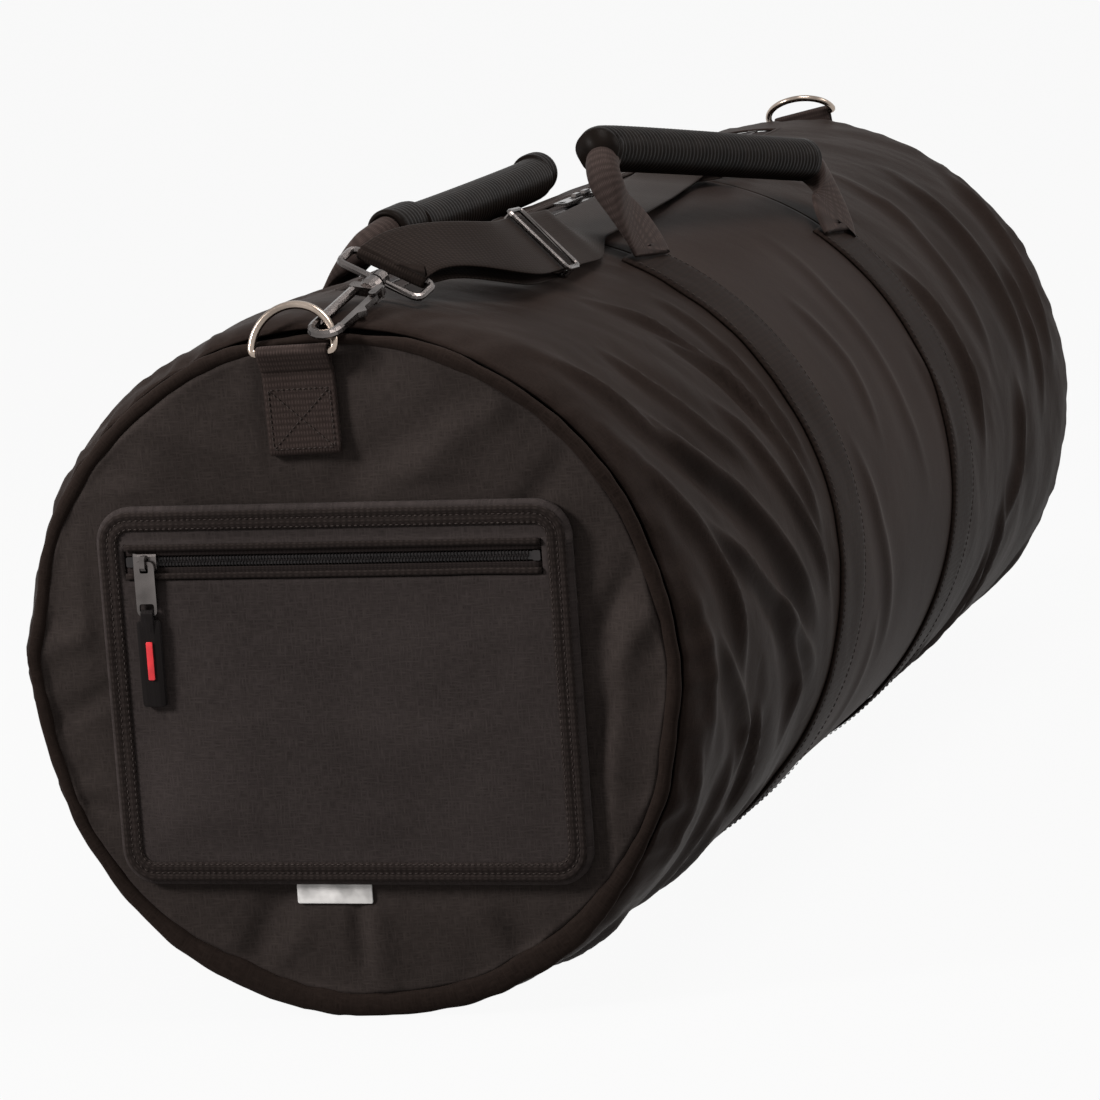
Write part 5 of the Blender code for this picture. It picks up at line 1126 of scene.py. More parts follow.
def ring_lengths(outline):
    """Metres run round a closed outline."""
    return run_lengths(np.vstack((outline, outline[:1])))


print("pocket outline points:", len(pocket_outline(0)),
      "length in m:", round(ring_lengths(pocket_outline(0))[-1], 3))

# %% Pocket cloth with its opening
# The same six values for each fold as in the end panels
POCKET_FOLDS = ((-30, 20, 35, 26, 90, 0.7), (52, -25, 62, 16, 70, 0.8), (20, -48, 66, 12, 60, -0.6),
                (-70, -30, 20, 20, 60, 0.5), (80, 20, 70, 14, 40, -0.5), (6, 18, 4, 10, 40, -0.5))
POCKET_EDGE, POCKET_CLOTH = 1.6 * MM, 1.0 * MM
# How far out each step of the side goes, and to what height over the panel
EDGE_STEPS = ((1.6 * MM, 3.4 * MM), (0.0, 0.2 * MM))


def pocket_swell(x, y):
    """How far the pocket's cloth bulges at (x, y), in metres, low where the puller travels."""
    edge = np.minimum(POCKET_HALF[0] - BORDER_WIDTH - np.abs(x), POCKET_HALF[1] - BORDER_WIDTH - np.abs(y))
    free = ease(edge, 0, 22 * MM) * ease(np.abs(y - ZIP_Y), 10 * MM, 26 * MM)
    height = 1.2 + 1.3 * soft_noise((x + y) / 0.05, (x - y) / 0.11, 4.4)
    height = height + 0.5 * soft_noise(x / 0.024, y / 0.04, 6.1) + folds_at(x, y, POCKET_FOLDS)
    below_zip = ZIP_Y - y
    cap = 0.3 + 0.8 * ease(below_zip, 30 * MM, 46 * MM) + 2.4 * ease(below_zip, 74 * MM, 100 * MM)
    return np.minimum(height * free, cap) * MM


def spaced(stops):
    """Places from stop to stop, about one cell apart, with every stop kept."""
    places = []
    for low, high in zip(stops, stops[1:]):
        count = max(1, round((high - low) / CELL))
        places += [low + (high - low) * k / count for k in range(count)]
    return np.array(places + [stops[-1]])


def rounded_corner(x, y, half_x, half_y, corner):
    """Moves the points of a rectangle's corners onto a rounded corner."""
    p = np.clip(np.abs(x) - (half_x - corner), 0, corner)
    q = np.clip(np.abs(y) - (half_y - corner), 0, corner)
    in_corner = (p > 0) & (q > 0)
    share = np.where(in_corner, np.maximum(p, q) / np.maximum(np.hypot(p, q), TINY), 1.0)
    x_new = np.where(in_corner, np.sign(x) * (half_x - corner + p * share), x)
    y_new = np.where(in_corner, np.sign(y) * (half_y - corner + q * share), y)
    return x_new, y_new


def pocket_cloth():
    """The pocket's front face, turned down to the panel all round."""
    half_x, half_y = POCKET_HALF[0] - POCKET_EDGE, POCKET_HALF[1] - POCKET_EDGE
    corner = POCKET_CORNER - POCKET_EDGE
    right = [half_x - corner, ZIP_HALF_LENGTH, half_x]
    xs = spaced([-stop for stop in right[::-1]] + right)
    ys = spaced([-half_y, -half_y + corner, ZIP_Y - POCKET_SLOT_HALF, half_y - corner,
                 ZIP_Y + POCKET_SLOT_HALF, half_y])
    x, y = np.meshgrid(xs, ys)
    height = POCKET_DEPTH + pocket_swell(x, y)
    points = np.stack((*rounded_corner(x, y, half_x, half_y, corner), height), axis=-1)
    middle_x, middle_y = (xs[:-1] + xs[1:]) / 2, (ys[:-1] + ys[1:]) / 2
    in_height, in_width = np.abs(middle_y - ZIP_Y) < POCKET_SLOT_HALF, np.abs(middle_x) < ZIP_HALF_LENGTH
    skip = in_height[:, None] & in_width[None, :]
    made = cloth("pocket_cloth", placed(pocket_frame, points), ys, xs, skip=skip)
    turn_down_edge(made)
    give_thickness(made, POCKET_CLOTH)
    settle(made, pocket_weave, "bag", "pocket_weave", "pocket_panel")


def turn_down_edge(made):
    """Adds the pocket's side: its outer edge runs down to the panel in two steps."""
    back = np.array(pocket_frame.inverted())

    def in_pocket(place):
        """A place in the pocket's own frame."""
        return back[:3, :3] @ np.array(place) + back[:3, 3]

    def on_rim(edge):
        """Whether an edge belongs to the outer rim, not to the zip's opening."""
        local = in_pocket((edge.verts[0].co + edge.verts[1].co) / 2)
        in_slot = abs(local[1] - ZIP_Y) < POCKET_SLOT_HALF + MM and abs(local[0]) < ZIP_HALF_LENGTH + MM
        return len(edge.link_faces) == 1 and not in_slot

    with edited(made.data) as shape:
        for inset_out, level in EDGE_STEPS:
            grown = bmesh.ops.extrude_edge_only(shape, edges=[edge for edge in shape.edges if on_rim(edge)])
            for vert in [item for item in grown["geom"] if isinstance(item, bmesh.types.BMVert)]:
                local = in_pocket(vert.co)
                reach = np.maximum(np.abs(local[:2]) - (np.array(POCKET_HALF) - POCKET_CORNER), 0)
                way = reach / max(np.linalg.norm(reach), TINY) * np.sign(local[:2])
                local[:2] = local[:2] + way * inset_out
                local[2] = level
                vert.co = Vector(placed(pocket_frame, local))
        bmesh.ops.recalc_face_normals(shape, faces=shape.faces)
        total = sum((face.normal * face.calc_area() for face in shape.faces), Vector())
        if total.y > 0:
            bmesh.ops.reverse_faces(shape, faces=shape.faces)


pocket_cloth()

# %% Bound edge of the pocket: two soft ridges with a sewn valley
# Inset and rise in millimetres
BORDER_SECTION = ((2.2, 0.0), (2.2, 0.7), (2.9, 1.15), (4.0, 1.4), (5.1, 1.15), (5.9, 0.65), (6.7, 0.65),
                  (7.4, 1.0), (8.6, 1.3), (9.8, 1.15), (10.8, 0.7), (11.6, 0.35), (11.6, 0.0))
BORDER_BACK, BORDER_MIDDLE = 9.4 * MM, 8 * MM
BORDER_WAVE, BORDER_WAVE_LENGTH = 0.12 * MM, 0.012


def pocket_binding():
    """A tape round the pocket, pressed into two ridges."""
    rings = []
    for inset, rise in BORDER_SECTION:
        outline = pocket_outline(inset * MM)
        level = np.full(len(outline), POCKET_DEPTH + GAP + rise * MM)
        rings.append(np.column_stack((outline, level)))
    rings = np.array(rings)
    wave = BORDER_WAVE * soft_noise(*np.moveaxis(rings[..., :2] / BORDER_WAVE_LENGTH, -1, 0), 2.0)
    rings[..., 2] += wave * (rings[..., 2] > POCKET_DEPTH + 2 * GAP)
    widths = run_lengths(np.array(BORDER_SECTION) * MM)
    points = placed(pocket_frame, rings).transpose(1, 0, 2)
    across = np.concatenate((widths, [widths[-1] + BORDER_BACK]))
    lengths = ring_lengths(pocket_outline(BORDER_MIDDLE))
    made = cloth("pocket_binding", points, lengths, across, round_way=True, along_way=True)
    face_out(made)
    settle(made, binding_tape, "bag", "binding_tape", "pocket_border")


pocket_binding()
out_of_panel = np.array(pocket_frame)[:3, 2]
rows = []
for inset, rise in ((6.3 * MM, 0.68 * MM), (10.6 * MM, 0.82 * MM)):
    outline = pocket_outline(inset)
    row = np.column_stack((outline, np.full(len(outline), POCKET_DEPTH + GAP + rise)))
    rows.append((placed(pocket_frame, np.vstack((row, row[:1]))), out_of_panel))
stitches("pocket_stitches", rows, step=3.0 * MM, length=2.2 * MM)

# %% Pocket zip: tapes, welts and coil
TAPE_LEVEL = POCKET_DEPTH - POCKET_WALL + 0.5 * MM + GAP
POCKET_TAPE_EDGES = (2.8 * MM, 8.7 * MM)
WELT_HALF, WELT_RISE, WELT_SAG, WELT_ROUND = 1.6 * MM, 0.95 * MM, 0.25 * MM, 8 * MM
WELT_SIDES, WELT_ROWS = 14, 90

for side, way in (("upper", 1), ("lower", -1)):
    reach = ZIP_HALF_LENGTH - GAP
    edges = [placed(pocket_frame, [(x, ZIP_Y + way * edge, TAPE_LEVEL) for x in (-reach, reach)])
             for edge in POCKET_TAPE_EDGES]
    flat_strip("pocket_tape_" + side, *edges, out_of_panel, "pocket_zip_tape_" + side)


def welt(side, way):
    """A rolled lip of cloth along one edge of the zip opening."""
    reach = ZIP_HALF_LENGTH - 2 * GAP
    xs = np.linspace(-reach, reach, WELT_ROWS)
    middle = ZIP_Y + way * (POCKET_SLOT_HALF - WELT_HALF - GAP)
    sag = WELT_SAG * soft_noise(xs / 0.03, np.zeros(WELT_ROWS), way * 2.0)
    turns = np.arange(WELT_SIDES) / WELT_SIDES * 2 * pi
    points = np.empty((WELT_ROWS, WELT_SIDES, 3))
    points[..., 0] = xs[:, None]
    points[..., 1] = middle + WELT_HALF * np.cos(turns)[None, :] - (sag * way)[:, None]
    points[..., 2] = TAPE_LEVEL + 0.5 * MM + GAP + WELT_RISE * (np.sin(turns) + 1)[None, :]
    made = cloth("pocket_lip_" + side, placed(pocket_frame, points), xs,
                 np.linspace(0, WELT_ROUND, WELT_SIDES + 1), round_way=True, caps=True)
    face_out(made)
    settle(made, binding_tape, "bag", "binding_tape", "pocket_welt_" + side)


welt("upper", 1)
welt("lower", -1)
POCKET_COIL_WIDTH, POCKET_COIL_PITCH = 5.0 * MM, 1.7 * MM
POCKET_STOP_LENGTH, SLIDER_HALF, COIL_IN_SLIDER = 4 * MM, 6 * MM, 2 * MM
pocket_line = pocket_frame @ Matrix.Translation((0, ZIP_Y, TAPE_LEVEL))
coil_end = ZIP_HALF_LENGTH - 3 * GAP - POCKET_STOP_LENGTH - GAP
coil("pocket_coil", pocket_line, POCKET_COIL_WIDTH, SLIDER_HALF - COIL_IN_SLIDER - coil_end, coil_end,
     POCKET_COIL_PITCH, "pocket_chain")

# %% Plain label under the pocket and the soft puller
def softened(node, name, finish, body, slot_name, rounding):
    """A CAD solid's own form with its edges rounded off, as its own piece."""
    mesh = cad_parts[node].data.copy()
    mesh.name = name
    with edited(mesh) as shape:
        bmesh.ops.remove_doubles(shape, verts=shape.verts, dist=0.01 * MM)
        bmesh.ops.dissolve_limit(shape, angle_limit=radians(2), verts=shape.verts, edges=shape.edges)
    mesh.shade_smooth()
    made = linked(name, mesh)
    bevel = made.modifiers.new("soft_edges", "BEVEL")
    bevel.width, bevel.segments = rounding, 3
    bevel.limit_method, bevel.angle_limit = "ANGLE", radians(35)
    settle(made, finish, body, slot_name, node)


softened("white_tag", "plain_label", white_label, "bag", "white_label_cloth", 0.25 * MM)
softened("pocket_puller", "puller_cloth", puller_tape, "pocket_puller", "puller_tape", 0.35 * MM)
softened("puller_red_bar", "red_puller_bar", red_moulding, "pocket_puller", "red_bar", 0.2 * MM)

# %% [markdown]
# ## D-rings and the tabs that hold them
# A tab is one length of webbing folded over the ring's straight bar and sewn flat on
# the end panel, with a square and a cross of stitches. The webbing is modelled as the
# ribbon it is: up the front, over the bar and down the back.

# %% Ribbons of webbing
RIBBON_EDGE = np.array((0.17, 0.5, 0.8, 0.94, 0.985, 1.0))
RIBBON_ROUNDING, RIBBON_EDGE_POWER = 0.55, 24


def ribbon(name, centres, widths, wide, thick, finish, node):
    """Webbing along a line of centres, with the direction of its width at each."""
    centres, widths = np.asarray(centres, float), np.asarray(widths, float)
    along = np.gradient(centres, axis=0)
    along = along / np.linalg.norm(along, axis=1)[:, None]
    across = widths - along * np.sum(widths * along, axis=1)[:, None]
    across = across / np.linalg.norm(across, axis=1)[:, None]
    out = np.cross(across, along)
    over = np.concatenate((-RIBBON_EDGE[::-1], RIBBON_EDGE))
    rise = 1 - RIBBON_ROUNDING * np.abs(over) ** RIBBON_EDGE_POWER
    side = np.concatenate((over, over[::-1])) * wide / 2
    lift = np.concatenate((rise, -rise[::-1])) * thick / 2
    points = centres[:, None] + across[:, None] * side[None, :, None] + out[:, None] * lift[None, :, None]
    made = cloth(name, points, run_lengths(centres), np.concatenate((side, [side[0]])),
                 round_way=True, caps=True)
    face_out(made)
    settle(made, finish, "bag", "black_webbing", node)


# %% Tabs, rings and their stitches
TAB_WIDTH, TAB_THICKNESS, TAB_LENGTH, TAB_LIFT = 36.5 * MM, 3.2 * MM, 50 * MM, 1.8 * MM
RING_WIDTH, RING_HEIGHT, RING_CORNER, RING_WIRE = 42.5 * MM, 23.5 * MM, 2.4 * MM, 4 * MM
RING_BORE = RING_WIRE / 2 + GAP
LAYER = TAB_THICKNESS / 2
TAB_WEBBING = LAYER - 0.1 * MM
BAR_OUT = TAB_LIFT + LAYER + RING_BORE
TAB_STITCH_EDGE, TAB_STITCH_LEVEL = 2.6 * MM, 2 * LAYER + 0.05 * MM
# Metres along the ring's wire and round it, for its UV map
WIRE_SIDES, WIRE_RUN, WIRE_ROUND = 16, 0.13, 0.0126


def ring_line():
    """The D's centre line: its bar on X and its arch in +Y."""
    half, corner = RING_WIDTH / 2, RING_CORNER
    turns = np.radians((30, 60, 90))
    points = [(share * (half - corner), 0, 0) for share in (-1, -0.5, 0, 0.5, 1)]
    points += [(half - corner + corner * sin(a), corner - corner * cos(a), 0) for a in turns]
    points += [(half * cos(a), corner + (RING_HEIGHT - corner) * sin(a), 0)
               for a in np.linspace(0, pi, 41)[1:-1]]
    points += [(-half + corner - corner * sin(a), corner - corner * cos(a), 0) for a in turns[::-1]]
    return np.array(points)


def tab_and_ring(name, way, x, ring_height, seam, tilt, roll):
    """The folded tab on an end panel with its ring, both in the solids' own frames."""
    across = Vector((cos(roll), 0, -way * sin(roll)))
    up = Vector((way * sin(roll), 0, cos(roll)))
    seat = local_frame((x, way * (HALF_LENGTH + GAP), AXIS_HEIGHT + ring_height), across * -way, (0, way, 0))
    head = RING_BORE + LAYER
    lifted = max(2 * head, ring_height - seam + 2 * PIPE_RADIUS + TAB_WIDTH / 2 * abs(sin(roll)))
    sewn = lifted + head
    radius = RING_BORE + LAYER / 2
    front = [(-TAB_LENGTH, 1.5 * LAYER), (-(TAB_LENGTH + sewn) / 2, 1.5 * LAYER), (-sewn, 1.5 * LAYER),
             (-lifted, TAB_LIFT + 1.5 * LAYER)]
    over = [(radius * sin(a), BAR_OUT + radius * cos(a)) for a in np.linspace(0, pi, 19)]
    back = [(-lifted, TAB_LIFT + LAYER / 2), (-sewn, LAYER / 2), (-TAB_LENGTH, LAYER / 2)]
    line = np.vstack((line_through(front + over[:1], 5)[:-1], over, line_through(over[-1:] + back, 5)[1:]))
    width = np.tile(np.array(seat)[:3, 0], (len(line), 1))
    line = placed(seat, np.column_stack((np.zeros(len(line)), line)))
    ribbon(name + "_tab_webbing", line, width, TAB_WIDTH, TAB_WEBBING, handle_webbing, name + "_ring_tab")
    edge, low, high = TAB_WIDTH / 2 - TAB_STITCH_EDGE, -TAB_LENGTH + 3 * MM, -max(sewn, 17 * MM) - 1 * MM
    corners = [(a, b, TAB_STITCH_LEVEL) for a, b in ((-edge, low), (edge, low), (edge, high), (-edge, high))]
    rows = [placed(seat, line_through((corners[start], corners[end]), 8))
            for start, end in ((0, 1), (1, 2), (2, 3), (3, 0), (0, 2), (3, 1))]
    stitches(name + "_tab_stitches", [(row, np.array(seat)[:3, 2]) for row in rows],
             step=2.8 * MM, length=2.1 * MM)
    bar_place = (x, way * (HALF_LENGTH + GAP + BAR_OUT), AXIS_HEIGHT + ring_height)
    lean = up * cos(tilt) + Vector((0, -way * sin(tilt), 0))
    hinge = local_frame(bar_place, across, across.cross(lean))
    points = tube_points(placed(hinge, ring_line()), RING_WIRE / 2, WIRE_SIDES)
    ring = cloth(name + "_ring_wire", points, np.linspace(0, WIRE_RUN, len(points) + 1),
                 np.linspace(0, WIRE_ROUND, WIRE_SIDES + 1), round_way=True, along_way=True)
    face_out(ring)
    settle(ring, bright_nickel, name + "_ring", "bright_nickel", name + "_d_ring")


tab_and_ring("front", -1, TAB_MIDDLE, 159 * MM, FRONT_SEAM_RADIUS, radians(20), 0.0)
tab_and_ring("rear", 1, 12.5 * MM, 176.5 * MM, REAR_SEAM_RADIUS, radians(55), radians(-10))

# %% [markdown]
# ## Handles
# Each handle is wide webbing that is folded in half where it leaves the band and rolled
# into a cord under the grip. The outline points are those of the solids. Between them
# runs a smooth line, and the section changes from flat to round along it, with a groove
# on the inner side where the two edges of the webbing meet.

# %% Outlines of the handles' legs
# Millimetres from a foot: outwards along the handle, up, and sideways off the barrel
NEAR_FRONT_LEG = ((0, 0, 0), (0, 5, 0), (4, 15, 0), (12, 28, 0), (15, 40, 0), (10, 51, 0), (-2, 58, 0),
                  (-17, 61, 0))
NEAR_REAR_LEG = ((0, 0, 0), (0, 5, 0), (6, 13, 0), (9, 25, 0), (6, 35, 0), (-3, 42, 0), (-12, 45, 0),
                 (-24, 46, 0))
FAR_FRONT_LEG = ((0, 0, 0), (0, 5, 0), (8, 13, 0.6), (18, 21, 2.8), (24, 29, 2.8), (20, 37, 2.8),
                 (8, 42, 3.2), (-8, 43, 3.2), (-26, 43, 3.2), (-44, 43, 0.4))
FAR_REAR_LEG = ((0, 0, 0), (0, 5, 0), (6, 13, 0.6), (9, 23, 2.8), (6, 33, 2.8), (-3, 40, 2.8),
                (-12, 43, 3.2), (-26, 43, 3.2), (-44, 43, 0.4))
LEG_WIDTH, LEG_THICKNESS, LEG_ROLL_RISE, ROLL_DIAMETER = 44 * MM, 3.5 * MM, 46 * MM, 18 * MM
GRIP_DIAMETER, GRIP_FIRST_POINT, LINE_STEPS, FOOT_LIFT = 25 * MM, 6, 6, 0.6 * MM
SEAT_RADIUS = BARREL_RADIUS + GAP + BAND_THICKNESS + FOOT_LIFT + LEG_THICKNESS / 2


def handle_line(foot_column, tilt, front_leg, rear_leg):
    """The handle's frame and its smooth centre line in that frame."""
    angles = [feet[foot_column] for feet in BAND_FEET.values()]
    front, rear = (Vector((SEAT_RADIUS * sin(angle), y, AXIS_HEIGHT + SEAT_RADIUS * cos(angle)))
                   for angle, y in zip(angles, (FRONT_BAND_Y, REAR_BAND_Y)))
    hinge = local_frame(front, rear - front, (sin(tilt), 0, cos(tilt)))
    span = (rear - front).length
    points = [(-out * MM, off * MM, up * MM) for out, up, off in front_leg]
    points += [(span + out * MM, off * MM, up * MM) for out, up, off in rear_leg[::-1]]
    return hinge, line_through(points, LINE_STEPS)


def across_line(line):
    """Directions square to a line in its XZ plane."""
    along = np.gradient(line, axis=0)
    across = np.stack((-along[:, 2], 0 * along[:, 1], along[:, 0]), axis=-1)
    return across / np.linalg.norm(across, axis=1)[:, None]


# %% Webbing of a handle
LEG_SIDES, ROLL_POWER = 32, 1.7
GROOVE_DEPTH, GROOVE_HALF = 0.16, 0.22
FOOT_ANGLES, FOOT_STEPS = np.radians((70, 45, 20)), np.array((1, 2, 3)) * MM


def leg_section(share):
    """A point ring that goes from flat webbing, share 0, to a grooved roll, share 1."""
    wide = LEG_WIDTH + (ROLL_DIAMETER - LEG_WIDTH) * share
    thick = LEG_THICKNESS + (ROLL_DIAMETER - LEG_THICKNESS) * share * share
    power = 2 / (5 - 3 * share)
    turns = 2 * pi * (np.arange(LEG_SIDES) + 0.5) / LEG_SIDES
    groove = 1 - GROOVE_DEPTH * share * bell(turns - pi, GROOVE_HALF)
    across, thickness = (size / 2 * np.abs(value) ** power * np.sign(value) * groove
                         for size, value in ((wide, np.cos(turns)), (thick, np.sin(turns))))
    return across, thickness


def handle_cloth(side, hinge, line):
    """Webbing from foot to foot."""
    lengths = run_lengths(line)
    across = across_line(line)
    rings = []
    for index, place in enumerate(lengths):
        share = ease(min(place, lengths[-1] - place), 0, LEG_ROLL_RISE) ** ROLL_POWER
        a, b = leg_section(share)
        ring = line[index] + across[index] * a[:, None]
        ring[:, 1] += b
        rings.append(ring)

    def rounded_under(ring, angle):
        """One of the rings that close a foot below."""
        low = np.full(len(ring), -LEG_THICKNESS / 2 * sin(angle))
        return np.column_stack((ring[:, 0], ring[:, 1] * cos(angle), low))

    toe = [rounded_under(rings[0], angle) for angle in FOOT_ANGLES]
    heel = [rounded_under(rings[-1], angle) for angle in FOOT_ANGLES[::-1]]
    rings = np.array(toe + rings + heel)
    ends = np.concatenate((-FOOT_STEPS[::-1], lengths, lengths[-1] + FOOT_STEPS))
    made = cloth(side + "_handle_cloth", placed(hinge, rings), ends,
                 np.linspace(0, 2 * LEG_WIDTH, LEG_SIDES + 1), round_way=True, caps=True)
    face_out(made)
    settle(made, handle_webbing, side + "_handle", "black_webbing", side + "_handle_webbing")


# %% [markdown]
# The grip is a moulded rubber sleeve with fine ribs. On the inside of the bends the ribs
# bunch together, and on the outside they spread, because they stay square to the line.

# %% Ribbed grip
RIB_PITCH, GRIP_LIP, LIP_ROUNDING = 4.6 * MM, 5 * MM, 1.4 * MM
RIB_DEPTHS = {"near": 0.62 * MM, "far": 0.34 * MM}
RIB_STEPS, LIP_STEPS, GRIP_SIDES, BORE_STRIDE = 5, 6, 36, 12


def grip(side, hinge, line):
    """A ribbed sleeve along the top of a handle."""
    first, last = GRIP_FIRST_POINT * LINE_STEPS, len(line) - 1 - GRIP_FIRST_POINT * LINE_STEPS
    lengths = run_lengths(line)
    start, total = lengths[first], lengths[last] - lengths[first]
    ribs = round((total - 2 * GRIP_LIP) / RIB_PITCH)
    pitch = (total - 2 * GRIP_LIP) / ribs
    places = np.concatenate((np.linspace(0, GRIP_LIP, LIP_STEPS)[:-1],
                             np.linspace(GRIP_LIP, total - GRIP_LIP, ribs * RIB_STEPS + 1),
                             np.linspace(total - GRIP_LIP, total, LIP_STEPS)[1:]))
    wave = 0.5 - 0.5 * np.cos(2 * pi * (places - GRIP_LIP) / pitch)
    on_ribs = (places >= GRIP_LIP) & (places <= total - GRIP_LIP)
    depth = np.where(on_ribs, RIB_DEPTHS[side] * (1 - wave ** 0.6), 0)
    lip = np.minimum(places, total - places) / GRIP_LIP
    radius = GRIP_DIAMETER / 2 - depth - LIP_ROUNDING * np.clip(1 - lip * 3, 0, 1) ** 2
    turns = 2 * pi * np.arange(GRIP_SIDES) / GRIP_SIDES
    centre = along_line(places + start, lengths, line)
    out = along_line(places + start, lengths, across_line(line))
    out = out / np.linalg.norm(out, axis=1)[:, None]
    ring = np.cos(turns)[None, :, None] * out[:, None] + np.sin(turns)[None, :, None] * np.array((0, 1, 0))
    outer = centre[:, None] + radius[:, None, None] * ring
    bore = centre[:, None] + (ROLL_DIAMETER / 2 + 2 * GAP) * ring
    points = np.concatenate((outer, bore[::-BORE_STRIDE]))
    metres = np.concatenate((places, places[::-BORE_STRIDE], [0.0]))
    made = cloth(side + "_grip_sleeve", placed(hinge, points), metres,
                 np.linspace(0, pi * GRIP_DIAMETER, GRIP_SIDES + 1), round_way=True, along_way=True)
    face_out(made)
    print(side, "grip:", ribs, "ribs over", round(total, 3), "m")
    settle(made, grip_rubber, side + "_handle", "grip_rubber", side + "_handle_grip")


for side, foot_column, tilt, legs in (("near", 1, radians(-24), (NEAR_FRONT_LEG, NEAR_REAR_LEG)),
                                      ("far", 2, radians(55), (FAR_FRONT_LEG, FAR_REAR_LEG))):
    hinge, line = handle_line(foot_column, tilt, *legs)
    handle_cloth(side, hinge, line)
    grip(side, hinge, line)

# %% [markdown]
# ## Shoulder strap
# The strap is one flat ribbon. It is sewn round the eye of the front hook, arches up
# to the slide, lies along the top of the barrel and ends round the eye of the rear
# hook. Its doubled end runs back from the slide under the arch. The route is the
# solids' own, with a smooth line through its stations.

# %% The strap's stations
STRAP_WIDTH, STRAP_THICKNESS = 38 * MM, 1.6 * MM
HOOK_WIRE, HOOK_REACH, EYE_WIRE, EYE_DEPTH = 5 * MM, 55 * MM, 4 * MM, 14 * MM
ADJUSTER_WIRE = 2.8 * MM
WRAP = EYE_WIRE / 2 + GAP + STRAP_THICKNESS / 2
UP = Vector((0, 0, AXIS_HEIGHT))


def on_barrel(x, y, lift):
    """A place on the barrel's upper side, lifted off it."""
    return Vector((x, y, sqrt((BARREL_RADIUS + lift) ** 2 - x * x))) + UP


def surface_width(x):
    """The direction that lies flat across the barrel at x."""
    angle = asin(x / BARREL_RADIUS)
    return Vector((cos(angle), 0, -sin(angle)))


STATION_STEP, HALF_TURN_STEPS = 12 * MM, 8


def between(start, end):
    """Stations from one (place, heading, width) knot to the next, without the last."""
    (place, way, width), (next_place, next_way, next_width) = start, end
    reach = (next_place - place).length
    count = max(1, round(reach / STATION_STEP))
    a, b = way.normalized() * reach, next_way.normalized() * reach
    stations = []
    for index in range(count):
        t = index / count
        spot = (place * (2 * t ** 3 - 3 * t ** 2 + 1) + a * (t ** 3 - 2 * t ** 2 + t)
                + next_place * (3 * t ** 2 - 2 * t ** 3) + b * (t ** 3 - t ** 2))
        stations.append((spot, width.lerp(next_width, t * t * (3 - 2 * t))))
    return stations


def half_turn(centre, radius, from_way, over_way, width):
    """Stations round a bar, from one side of it over to the other."""
    turns = [pi * k / HALF_TURN_STEPS for k in range(HALF_TURN_STEPS + 1)]
    return [(centre + radius * (from_way * cos(a) + over_way * sin(a)), width) for a in turns]


def below(stations, first_drop, last_drop, start, way):
    """Stations that follow a run of strap underneath it."""
    made, last = [], len(stations) - 1
    for index, (centre, width) in enumerate(stations):
        along = (stations[min(index + 1, last)][0] - stations[max(index - 1, 0)][0]).normalized()
        across = (width - along * width.dot(along)).normalized()
        drop = first_drop + (last_drop - first_drop) * index / last
        made.append((centre - across.cross(along) * drop, width))
    return [(start, made[0][1]), (start + way * STRAP_THICKNESS, made[0][1])] + made[1:]


# %% The strap's route from hook to hook
# Where the front hook catches its ring and where the slide is, from the barrel's axis
FRONT_CATCH = (8.9 * MM, -459.4 * MM, 170.2 * MM)
SLIDE_PLACE, SLIDE_TILT = (61.5 * MM, -278 * MM, 184.5 * MM), radians(47)
# X, Y and lift of the rear eye, and X and Y where the strap lies on the barrel
REAR_EYE = (35 * MM, 112 * MM, 7 * MM)
LYING, LYING_LIFT = ((40 * MM, -150 * MM), (33 * MM, 0), (28.5 * MM, 62 * MM)), 3.6 * MM
SEWN_END_LENGTH = 28 * MM


